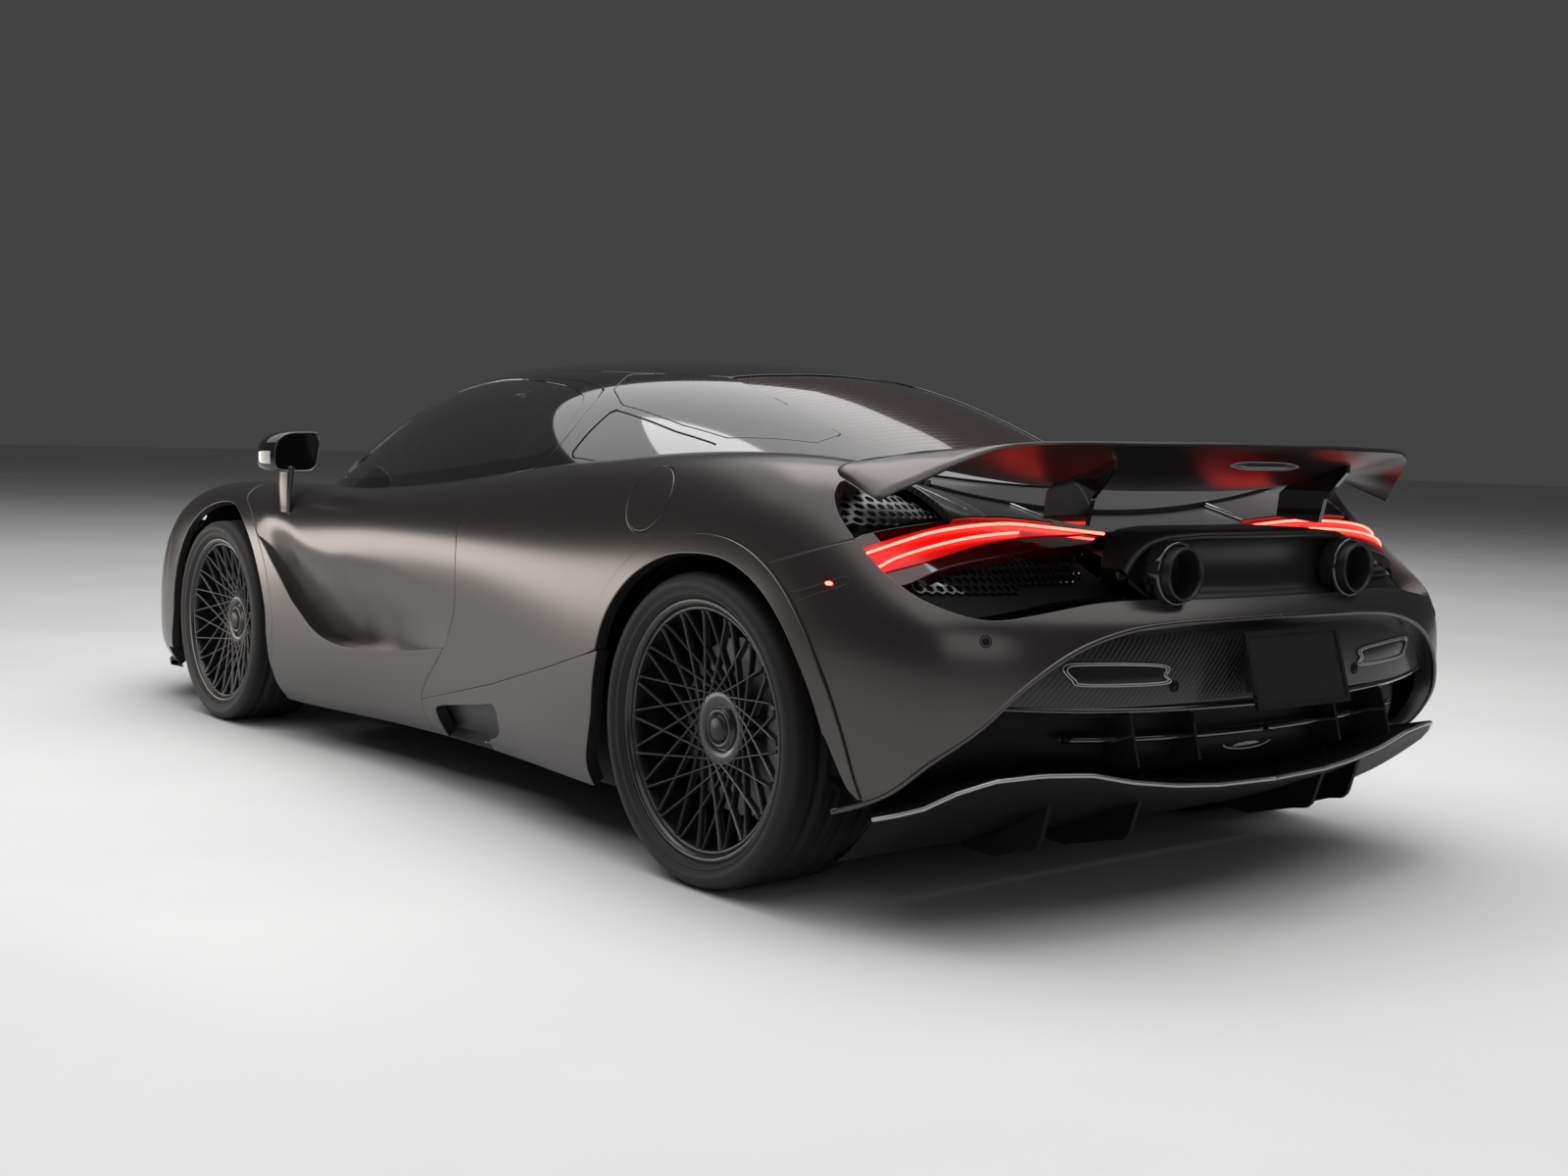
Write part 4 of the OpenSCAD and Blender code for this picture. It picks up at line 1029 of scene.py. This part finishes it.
strips = [  # outline, how far sunk, radius, steps between points
    ([[868, 742], [850, 756], [800, 778], [728, 797], [622, 808], [495, 810], [374, 802], [263, 792],
      [200, 786]], 22, 3.0, 8),
    ([[852, 728], [820, 748], [760, 768], [680, 783], [590, 791], [500, 794]], 23, 2.8, 8),
    ([[868, 742], [871, 728], [866, 712]], 18, 2.6, 4),
    ([[862, 712], [862, 700], [852, 688]], 18, 3.6, 4)]
led = [bead(on_tail, line, d, r, 8, steps, up=REAR) for line, d, r, steps in strips]
pair("tail_lamp_strips", led, "led")
haze_line = signed([
    [870, 748], [820, 778], [728, 803], [622, 815], [495, 817], [374, 810], [263, 800], [190, 790],
    [300, 786], [470, 786], [600, 778], [700, 762], [790, 738], [850, 716], [862, 690],
    [869, 714]], BACK, 3)
panel("tail_lamp_haze", inset(27).trim(haze_line, half(1, 3000)), "haze", 2.0, r=0.3)


def comb(line, d, cell, x0, x1, z0, z1, thick=6.0, web=0.16):
    """perforated sheet: six-sided rings laid on the sunk skin wherever the outline holds them"""
    out, turn = [], np.arange(6) * math.pi / 3 + math.pi / 6
    hexa = np.stack([np.cos(turn), np.sin(turn)], -1) * cell / math.sqrt(3)
    j, z = 0, z0
    while z < z1:
        x = x0 + (cell / 2 if j % 2 else 0)
        while x < x1:
            c = on_tail(x, z, d)
            if line(c[None])[0] > cell * 0.35 and c[1] > 2960:
                o1 = V([on_tail(*(V([x, z]) + h), d) for h in hexa])
                i1 = o1 + (c - o1) * web * 2
                i2 = i1 - [0, thick, 0]
                v = np.concatenate([o1, i1, i2])
                f = [(k, (k + 1) % 6, 6 + (k + 1) % 6, 6 + k) for k in range(6)]
                f += [(6 + k, 6 + (k + 1) % 6, 12 + (k + 1) % 6, 12 + k) for k in range(6)]
                out.append((v, f, None))
            x += cell
        z += cell * math.sqrt(3) / 2
        j += 1
    return out


low_mesh = signed([
    [842, 742], [760, 752], [600, 770], [470, 776], [420, 760], [385, 705], [500, 692], [640, 680],
    [740, 672], [800, 682], [850, 715]], BACK)
top_mesh = signed([
    [862, 800], [862, 850], [830, 890], [770, 890], [660, 838], [600, 822], [720, 818],
    [800, 802]], BACK)
pair("tail_comb_low", comb(low_mesh, 52, 17, 370, 870, 660, 790), "gloss", smooth=False)
pair("tail_comb_top", comb(top_mesh, 40, 16, 590, 880, 800, 900), "comb", smooth=False)


def above_lamps(q):
    return q[:, 2] - np.interp(np.abs(q[:, 0]), [0, 200, 263, 374, 495, 622, 728, 820, 870],
                               [796, 796, 806, 817, 826, 827, 819, 802, 790])


deck_tail = inset(14).trim(inner(recess, 2.0), half(1, 2999), above_lamps)
panel("tail_deck_satin", deck_tail.trim(half(0, 330), half(0, 560, -1)), "paint", 12.0, r=4)
panel("tail_deck_weave", deck_tail.trim(half(0, 563), half(0, 668, -1)), "carbon_xy", 12.0, r=3)
panel("tail_deck_centre", deck_tail.moved(-6).trim(half(0, 327, -1)), "carbon_xy", 12.0, r=3)
rail = V([on_tail(666 - 70 * t, 890 - 52 * t, 16) for t in np.linspace(0, 1, 12)])
seam = V([on_tail(x, z, 12) for x, z in ((330, 822), (335, 840), (345, 862), (352, 885))])
pair("tail_deck_edges", [tube(seam, 2.2, 6), tube(rail, 2.6, 6)], "satin")

low = inset(40).trim(tail_edge, half(1, 3080), half(2, 462))
panel("lower_tail_panel", low, "carbon_xz", 20.0, r=3, node="rear_lower_panel", slot="carbon")
cave = inset(95).trim(tail_edge, half(1, 3000), half(2, 470, -1), half(2, 262))
panel("lower_opening", cave, "black", 10.0)
pocket = [[340, 503], [336, 520], [345, 541], [545, 552], [590, 545], [572, 520], [540, 507]]
panel("reflector_pockets", inset(38).trim(inner(signed(pocket, BACK, 5), 2.0), half(1, 3100)), "gloss",
      5.0, r=1)
c = V(pocket).mean(0)
rims = [bead(on_tail, c + (V(pocket) - c) * [1 - (1 - k) * 0.4, k], d, 1.7, 6, up=REAR, closed=True)
        for d, k in ((36, 1.0), (35, 0.84))]
pair("reflector_rims", rims, "satin")
lip_pts = [
    [905, 240], [880, 290], [843, 362], [776, 432], [692, 516], [587, 579], [464, 613], [330, 625],
    [185, 627], [60, 628], [0, 628]]
pair("tail_edge_bead", [bead(on_tail, lip_pts, 3, 6.5, 10, up=REAR)], "paint")
bar = [[720, 466], [560, 458], [400, 452], [200, 448], [0, 446]]
bars = [bead(on_tail, bar, 46, 7, 8, 6, up=REAR, flat=1.6),
        tube(V([on_tail(x, z - 62, 70) for x, z in spline(bar[1:], 6)]), 8, 8, up=REAR, flat=1.2)]
pair("tail_cross_bars", bars, "gloss")
strake = [[3330, 330], [3468, 345], [3440, 446], [3405, 446], [3340, 400]]
pair("tail_strakes", [slab(strake, 0, x, x + 7) for x in (240, 430)], "gloss", smooth=False)
centre_lamp = V([[80 * math.cos(a), 3398, 351 + 14 * math.sin(a)]
                 for a in np.linspace(0, 2 * math.pi, 49)[:-1]])
mesh("centre_lamp_rim", [tube(centre_lamp, 2.5, 8, up=REAR, closed=True)], "satin")
mesh("centre_lamp_lens", [ball((0, 3392, 351), (76, 8, 12), 2.4)], "comb")
mesh("centre_lamp_housing", [ball((0, 3368, 351), (92, 34, 24), 2.6)], "gloss")


def sensor(x, z, d, r=11.0):
    """round parking sensor set in the skin at a place seen from behind"""
    c = on_tail(x, z, d)
    n = unit(np.cross(on_tail(x + 6, z, d) - c, on_tail(x, z + 6, d) - c))
    n = n if n[1] > 0 else -n
    u = unit(np.cross(n, [0, 0, 1.0]))
    w = np.cross(n, u)
    a = np.linspace(0, 2 * math.pi, 25)[:-1]
    ring_v = [c + (u * math.cos(k) + w * math.sin(k)) * r for k in a]
    dome = [[c + (u * math.cos(k) + w * math.sin(k)) * (r - 3) * q + n * (2.2 - 2 * q ** 2) for k in a]
            for q in (1.0, 0.6, 0.02)]
    return [tube(V(ring_v), 1.3, 6, up=list(n), closed=True), rows_part(dome, False, True)]


pair("tail_sensors", sensor(312, 497, 38) + sensor(765, 600, 0), "black")

# diffuser: a ramp that rises to the tail, its lip and the four fins
lip_x = [0, 182, 307, 427, 539, 653, 747, 807, 854, 888]
lip_z = [289, 292, 301, 317, 340, 346, 338, 313, 274, 246]
lip_y = [3474, 3469, 3460, 3451, 3439, 3416, 3378, 3335, 3281, 3190]
xs = np.linspace(0, 888, 44)
ys, zs = np.interp(xs, lip_x, lip_y), np.interp(xs, lip_x, lip_z)
ramp = V([np.stack([xs, 3080 + (ys - 3080) * t, 135 + (zs - 147) * t ** 1.3], -1)
          for t in np.linspace(0, 1, 12)])
ramp = np.concatenate([ramp, (ramp + [0, 0, 12])[::-1]])
pair("diffuser_ramp", [rows_part(ramp, True)], "black", node="diffuser", slot="carbon")
edge = np.stack([xs, ys + 2, zs - 6], -1)
shelf = [[[x, y - 2, z - 1], [x * 0.955, y - 190, 292]] for x, y, z in zip(xs, ys, zs)]
pair("tail_shelf", [rows_part(shelf)], "black")
pair("diffuser_edge", [tube(edge, 4.0, 8, flat=1.2)], "satin")
fins = []
# inner and outer fin: x, then y and z of the top and of the foot at its rear edge
for x, y0, z0, y1, z1 in ((317, 3384, 268, 3356, 170), (532, 3338, 290, 3304, 162)):
    fins.append(slab([[3090, 128], [3180, 122], [y1 - 50, z1 - 14], [y1 - 16, z1 - 8], [y1 - 3, z1 + 4],
                      [y1 + 2, z1 + 16], [y0, z0], [y0 - 6, z0 + 40], [3090, 150]], 0, x - 6, x + 6))
pair("diffuser_fins", fins, "black", smooth=False)

# wing: lofted from sections; its trailing edge sweeps forward and down into pointed ends
wing_rows = [  # leading edge x, y, z; trailing edge x, y, z; thickness
    (0, 3140, 884, 0, 3438, 985, 28), (200, 3136, 885, 200, 3437, 984.5, 28),
    (400, 3122, 893, 400, 3424, 982, 26), (540, 3106, 907, 547, 3376, 980, 24),
    (640, 3084, 921, 640, 3332, 975, 21), (710, 3066, 929, 700, 3303, 964, 19),
    (765, 3048, 931, 749, 3265, 938, 17), (808, 3030, 929, 790, 3218, 906, 14),
    (838, 3018, 924, 830, 3178, 880, 11), (852, 3014, 914, 852, 3158, 864, 8),
    (857, 3026, 902, 860, 3148, 857, 3)]
sec = V([[0, 0.0], [0.02, 0.32], [0.1, 0.75], [0.3, 1.0], [0.6, 0.75], [0.85, 0.42], [1.0, 0.2],
         [1.0, -0.12], [0.85, -0.2], [0.6, -0.35], [0.3, -0.5], [0.1, -0.42], [0.02, -0.2]])
rows = []
for e in spline(wing_rows, 6):
    a, b, thick = e[:3], e[3:6], e[6]
    p = a + (b - a) * sec[:, :1]
    belly = 26 * sec[:, 0] * (1 - sec[:, 0]) * np.clip((720 - a[0]) / 500, 0, 1)
    p[:, 2] += sec[:, 1] * thick - belly
    rows.append(p)
wv, wf, _ = rows_part(rows, False, True)
under = [f for f in wf if f[0] % len(sec) >= 7]
over = [f for f in wf if f[0] % len(sec) < 7] + [tuple(range(len(wv) - len(sec), len(wv)))]
pair("wing_blade", [(wv, over, None)], "paint", node="wing", slot="paint")
pair("wing_underside", [(wv, under, None)], "satin_black")
pair("wing_stands", [slab([[3160, 822], [3277, 812], [3290, 868], [3346, 930], [3346, 950], [3200, 908],
                           [3166, 878]], 0, 393, 407)], "gloss", smooth=False)
mesh("wing_lamp", [tube(V([[-112, 3406, 944], [-60, 3407, 942], [60, 3407, 942], [112, 3406, 944]]),
                        [4, 9, 9, 4], 12, flat=0.9)], "lens")
edges = [V([[x, 3414 - abs(x) / 40, 943 + 8 * k * (1 - (x / 118) ** 4)]
            for x in np.linspace(-118, 118, 25)]) for k in (-1, 1)]
mesh("wing_lamp_edge", [tube(line, 1.3, 6) for line in edges], "satin")

# exhaust tips
tip = [(44, 110), (47, 178), (50, 186), (53, 188), (56, 184), (56, 60), (52, 20), (50, 0)]


def turned(profile, n):
    """ring around the exhaust's axis, which runs rearward from TIP_AT"""
    v, f, _ = revolve(profile, (0, 0, 0), n)
    return v[:, [2, 0, 1]] + V(TIP_AT), f, None


pair("exhaust_tip_rings", [turned(tip, 64), turned([(0.1, 130), (46, 130)], 48)], "steel",
     node="exhaust_tips", slot="exhaust")
collar = [(57, 120), (57, 160), (59, 166), (63, 167), (66, 162), (68, 130)]
pair("exhaust_collars", [turned(collar, 64)], "gloss")

# blank plate on its carrier
PLATE_LEAN = math.radians(16.5)


def on_plate(u, w, d=0.0):
    """across, up the plate and out of it"""
    c, s = math.cos(PLATE_LEAN), math.sin(PLATE_LEAN)
    return V([u, 3518.5 + d * c - w * s, 525 + d * s + w * c])


def plate_block(u0, w0, u1, w1, d0, d1):
    c = [on_plate(u, w, d) for d in (d0, d1) for u, w in ((u0, w0), (u1, w0), (u1, w1), (u0, w1))]
    return crisp(c, [(3, 2, 1, 0), (4, 5, 6, 7), (0, 1, 5, 4), (1, 2, 6, 5), (2, 3, 7, 6),
                     (3, 0, 4, 7)])


# four bars around the plate and the carrier's block behind it
bars = [(-160, -82, 160, -72, -4, 4), (-160, 72, 160, 82, -4, 4), (-160, -72, -150, 72, -4, 4),
        (150, -72, 160, 72, -4, 4), (-130, -40, 130, 40, -40, -4)]
mesh("plate_frame", [plate_block(*bar) for bar in bars], "gloss", smooth=False, node="number_plate",
     slot="plate")
mesh("plate_blank", [plate_block(-150, -72, 150, 72, -4, 1)], "plate", smooth=False)

# ---------------------------------------------------------------- mirrors
rear_face = spline([
    [795, 944], [850, 950], [903, 944], [936, 916], [944, 872], [932, 834], [868, 828], [812, 835],
    [797, 880]], 5, closed=True)
mid = V([872, 888])


def mirror_ring(y, k, out=0.0):
    """outline of the housing at y: scaled about its middle, then pushed outboard"""
    p = mid + (rear_face - mid) * k
    p[:, 0] += out * np.clip((p[:, 0] - 850) / 90, 0, 1)
    return np.stack([p[:, 0], np.full(len(p), float(y)), p[:, 1]], -1)


shell = rows_part([mirror_ring(*row) for row in (
    (476, 0.9), (482, 0.93), (485, 0.965), (482, 1.0), (470, 1.03, 8), (445, 1.05, 16), (415, 1.02, 20),
    (385, 0.92, 18), (358, 0.72, 12), (342, 0.42, 6), (337, 0.15, 2))], False, True)
shell[1].append(tuple(range(len(shell[0]) - len(rear_face), len(shell[0]))))
glass_v = mirror_ring(477, 0.9)
foot = spline([[892, 456, 700], [893, 456, 740], [891, 452, 790], [884, 444, 838]], 5)
for side, k in ((1, "left"), (-1, "right")):
    bn = "door_" + k[0]
    mesh("mirror_shell_" + k, one_side([shell], side), "gloss", bn, node="mirror_" + k,
         slot="gloss_black")
    pane = (glass_v, [tuple(range(len(glass_v)))], None)
    mesh("mirror_glass_" + k, one_side([pane], side), "mirror", bn, smooth=False)
    rim = tube(mirror_ring(483, 0.955), 1.6, 6, up=REAR, closed=True)
    mesh("mirror_rim_" + k, one_side([rim], side), "satin", bn)
    stalk = tube(foot, np.linspace(28, 46, len(foot)), 16, flat=0.42, up=(1, 0, 0))
    mesh("mirror_stalk_" + k, one_side([stalk], side), "paint", bn)

# ---------------------------------------------------------------- wheels
SPOKES = 20  # spokes that lean each way
LEAN = 0.243  # each spoke's line passes the hub at this share of the rim's radius
HUB_R, CAP_R, RIM_R = 46, 33, 0.915  # hub and cap in mm, the lattice's rim as a share
FRONT_RIM, REAR_RIM = (270, 245), (286, 305)  # rim radius and tyre width


def wheel(tag, side, centre, r_t, r_r, w):
    """tyre of radius r_t and width w on a lattice rim of radius r_r"""
    x0, y0, z0 = centre
    tread = []
    for a in np.linspace(-0.4, 0.4, 33):
        crown = (a / 0.4) ** 2 * 3
        groove = 7 if min(abs(abs(a) - 0.08), abs(abs(a) - 0.24)) < 0.016 else 0
        tread.append((r_t - crown - groove, a * w))
    wall = [(r_r - 6, 0.415), (r_r + 2, 0.43), (r_r + 6, 0.468), (r_r + 12, 0.474), (r_r + 15, 0.462),
            (r_r + 20, 0.482), ((r_r + r_t) / 2, 0.498), (r_t - 14, 0.478), (r_t - 5, 0.435)]
    tyre = [(r, -f * w) for r, f in wall] + tread + [(r, f * w) for r, f in reversed(wall)]
    mesh("tyre_" + tag + "_rubber", [revolve(tyre, centre, 160, side=side)], "tyre", "wheel_" + tag,
         node="tyre_" + tag, slot="tyre")
    f = w * 0.42 + 4
    barrel = [(r_r - 10, -f), (r_r, -f), (r_r, -f + 8), (r_r - 14, -f + 10), (r_r - 24, -20),
              (r_r - 24, f - 60), (r_r - 18, f - 14), (r_r - 14, f - 3), (r_r - 8, f), (r_r - 1, f - 2),
              (r_r + 1, f - 6)]
    ring = [(0.905 * r_r, f - 34), (0.905 * r_r, f - 14), (0.912 * r_r, f - 11), (0.93 * r_r, f - 11),
            (0.938 * r_r, f - 16), (0.95 * r_r, f - 20)]
    parts = [revolve(barrel, centre, 128, side=side), revolve(ring, centre, 128, side=side)]

    def face(r):
        """how far out the dished face lies at radius r"""
        return f - 12 - 64 * (1 - r / (0.92 * r_r))

    reach = np.linspace(0.268 * r_r, RIM_R * r_r, 15)
    width = np.interp(reach / r_r, [0.26, 0.5, 0.85, RIM_R], [3.4, 3.4, 3.6, 5.0])
    off = math.asin(LEAN / RIM_R) - math.radians(1.6)
    for k in range(SPOKES):
        for s in (-1, 1):
            ang = k * 2 * math.pi / SPOKES + s * (np.arcsin(LEAN * r_r / reach) - off)
            path = np.stack([x0 + side * (face(reach) - 9), y0 + reach * np.cos(ang),
                             z0 + reach * np.sin(ang)], -1)
            parts.append(tube(path, width, 8, False, 2.9, [1, 0, 0]))
    hub = [(0.29 * r_r, face(0.27 * r_r) - 26), (0.29 * r_r, face(0.27 * r_r) - 4),
           (0.275 * r_r, face(0.27 * r_r)), (0.17 * r_r, face(0.17 * r_r)), (HUB_R, face(HUB_R) - 2),
           (44, face(HUB_R) + 8), (36, face(40) + 12), (CAP_R, face(40) + 8)]
    cap = [(CAP_R, face(40) + 8), (32, face(40) + 14), (20, face(40) + 18), (0.1, face(40) + 19.5)]
    parts.append(revolve(hub, centre, 64, side=side))
    mesh("rim_" + tag + "_lattice", parts, "wheel", "wheel_" + tag, node="rim_" + tag,
         slot="wheel_black")
    mesh("rim_" + tag + "_cap", [revolve(cap, centre, 48, side=side)], "steel", "wheel_" + tag)


for tag in ("fl", "fr", "rl", "rr"):
    lo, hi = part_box("tyre_" + tag)
    c = [(lo[i] + hi[i]) * 500 + (MID if i == 1 else 0) for i in range(3)]
    wheel(tag, 1 if tag[1] == "l" else -1, c, c[2], *(FRONT_RIM if tag[0] == "f" else REAR_RIM))


# ---------------------------------------------------------------- cabin
def cushion(name, c, r, e=3.2, tilt=0.0):
    """crowned cushion with half lengths r, leaning by tilt degrees about the car's width"""
    v, f, _ = ball((0, 0, 0), r, e, 28, 40)
    v[:, 2] += -0.12 * r[2] * np.cos(np.pi * v[:, 0] / r[0]) * (v[:, 2] > 0)
    a, y, z = math.radians(tilt), v[:, 1].copy(), v[:, 2].copy()
    v[:, 1] = y * math.cos(a) - z * math.sin(a)
    v[:, 2] = y * math.sin(a) + z * math.cos(a)
    o = mesh(name, [(v + V(c), f, None)], "seat", slot="leather")
    return o


for s, k in ((1, "left"), (-1, "right")):
    o = cushion("seat_base_" + k, (s * 360, 1010, 268), (150, 240, 62), 4, -3)
    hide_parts("seats")
    cushion("seat_back_" + k, (s * 360, 1352, 590), (160, 52, 330), 4, -17)
    for b in (-1, 1):
        cushion("seat_side_%s_%d" % (k, b + 1), (s * 360 + b * 182, 1020, 300), (42, 240, 92), 3, -4)
        cushion("seat_wing_%s_%d" % (k, b + 1), (s * 360 + b * 180, 1318, 560), (42, 70, 250), 3, -17)
    cushion("seat_head_" + k, (s * 360, 1468, 868), (110, 48, 92), 3.4, -14)
wheel_c, tilt = V([370, 640, 740]), math.radians(-68)
lean = V([[1, 0, 0], [0, math.cos(tilt), math.sin(tilt)], [0, -math.sin(tilt), math.cos(tilt)]])


def in_wheel(x, y, z):
    """a place in the plane of the steering wheel, and out of it by z"""
    c, s = math.cos(tilt), math.sin(tilt)
    return wheel_c + V([x, y * c - z * s, y * s + z * c])


rim_path = V([in_wheel(175 * math.cos(a), 175 * math.sin(a), 0)
              for a in np.arange(64) * 2 * math.pi / 64])
parts = [tube(rim_path, 15, 12, closed=True)]
for a in (0, 90, 180):
    c, s = math.cos(math.radians(a)), math.sin(math.radians(a))
    parts.append(tube(V([in_wheel(r * c, r * s, -6 + 4 * (r / 170)) for r in np.linspace(20, 168, 8)]),
                      np.linspace(20, 11, 8), 8, flat=0.45, up=(in_wheel(0, 0, 1) - wheel_c)))
v, f, _ = ball((0, 0, 0), (44, 44, 22))
parts.append((v @ lean + in_wheel(0, 0, -6), f, None))
mesh("steering_wheel_rim", parts, "seat", node="steering_wheel", slot="leather")

# finishes for the nodes that stay as they are
for mat, nodes in (("dark", ("tub",)), ("black", ("cage", "roll_frame", "dashboard")),
                   ("alloy", ("engine", "front_beam", "wishbones", "rear_knuckles", "knuckle_fl",
                              "knuckle_fr")),
                   ("disc", ("disc_fl", "disc_fr", "disc_rl", "disc_rr"))):
    for node in nodes:
        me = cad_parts[node].data
        me.materials.clear()
        me.materials.append(MATS[mat])

# ---------------------------------------------------------------- floor, light, camera
floor_mesh = bpy.data.meshes.new("floor")
FLOOR = 60  # half its side, in metres
floor_mesh.from_pydata([(-FLOOR, -FLOOR, 0), (FLOOR, -FLOOR, 0), (FLOOR, FLOOR, 0), (-FLOOR, FLOOR, 0)],
                       [], [(0, 1, 2, 3)])
floor = bpy.data.objects.new("floor", floor_mesh)
bpy.context.scene.collection.objects.link(floor)
pale = Mat("floor_pale", (0.74, 0.74, 0.73), 0.7)
pale.set("Base Color", pale.mix(pale.noise(0.6, 5.0).ramp(0.3, 0.7), (0.70, 0.70, 0.70),
                                (0.78, 0.78, 0.77)))
floor_mesh.materials.append(pale.mat)

scene = bpy.context.scene
world = bpy.data.worlds.new("studio")
scene.world = world
world.use_nodes = True
bg = world.node_tree.nodes["Background"]
bg.inputs[0].default_value = (0.055, 0.055, 0.057, 1)
bg.inputs[1].default_value = 1.0


def lamp_at(name, loc, look, size, power, size_y=None):
    """area lamp that looks at a place; metres and watts"""
    d = bpy.data.lights.new(name, "AREA")
    d.energy, d.size = power, size
    if size_y:
        d.shape, d.size_y = "RECTANGLE", size_y
    o = bpy.data.objects.new(name, d)
    scene.collection.objects.link(o)
    o.location = loc
    o.visible_camera = False
    o.rotation_mode = "QUATERNION"
    o.rotation_quaternion = (Vector(look) - Vector(loc)).to_track_quat("-Z", "Y")
    return o


lamp_at("overhead", (0.5, 0.3, 4.6), (0, 0, 0.4), 5.0, 130, 3.0)
lamp_at("ceiling", (0, 0, 9), (0, 0, 0), 20.0, 1500)
wall = lamp_at("left_wall", (3.3, -4.8, 0.7), (0.0, -4.8, 0.66), 8.0, 125, 1.05)
wall.data.color = (1.0, 0.93, 0.87)
# the wall lamp is flagged off the floor, so that only the car's flank takes its light
flagged = bpy.data.collections.new("flagged_off")
flagged.objects.link(floor)
wall.light_linking.receiver_collection = flagged
flagged.collection_objects[0].light_linking.link_state = "EXCLUDE"
lamp_at("tail", (2.6, 6.8, 2.4), (0, 1.5, 0.5), 4.0, 22, 2.0)

cam = bpy.data.cameras.new("camera")
cam.lens, cam.sensor_width = 42.0, 36.0
camera = bpy.data.objects.new("camera", cam)
scene.collection.objects.link(camera)
scene.camera = camera
CAMERA_AT = [3235.6, 5799.7, 974.9]  # in mm from the front axle, as the meshes are
yaw, pitch, roll = 0.68037, 0.08205, -0.028206
ahead = V([-math.sin(yaw) * math.cos(pitch), -math.cos(yaw) * math.cos(pitch), -math.sin(pitch)])
level = unit(np.cross(ahead, [0, 0, 1.0]))
down = np.cross(ahead, level)
cr, sr = math.cos(roll), math.sin(roll)
m = np.eye(4)
m[:3, 0], m[:3, 1], m[:3, 2] = cr * level + sr * down, sr * level - cr * down, -ahead
m[:3, 3] = place(CAMERA_AT)
camera.matrix_world = Matrix(m.tolist())
scene.view_settings.view_transform = "Standard"
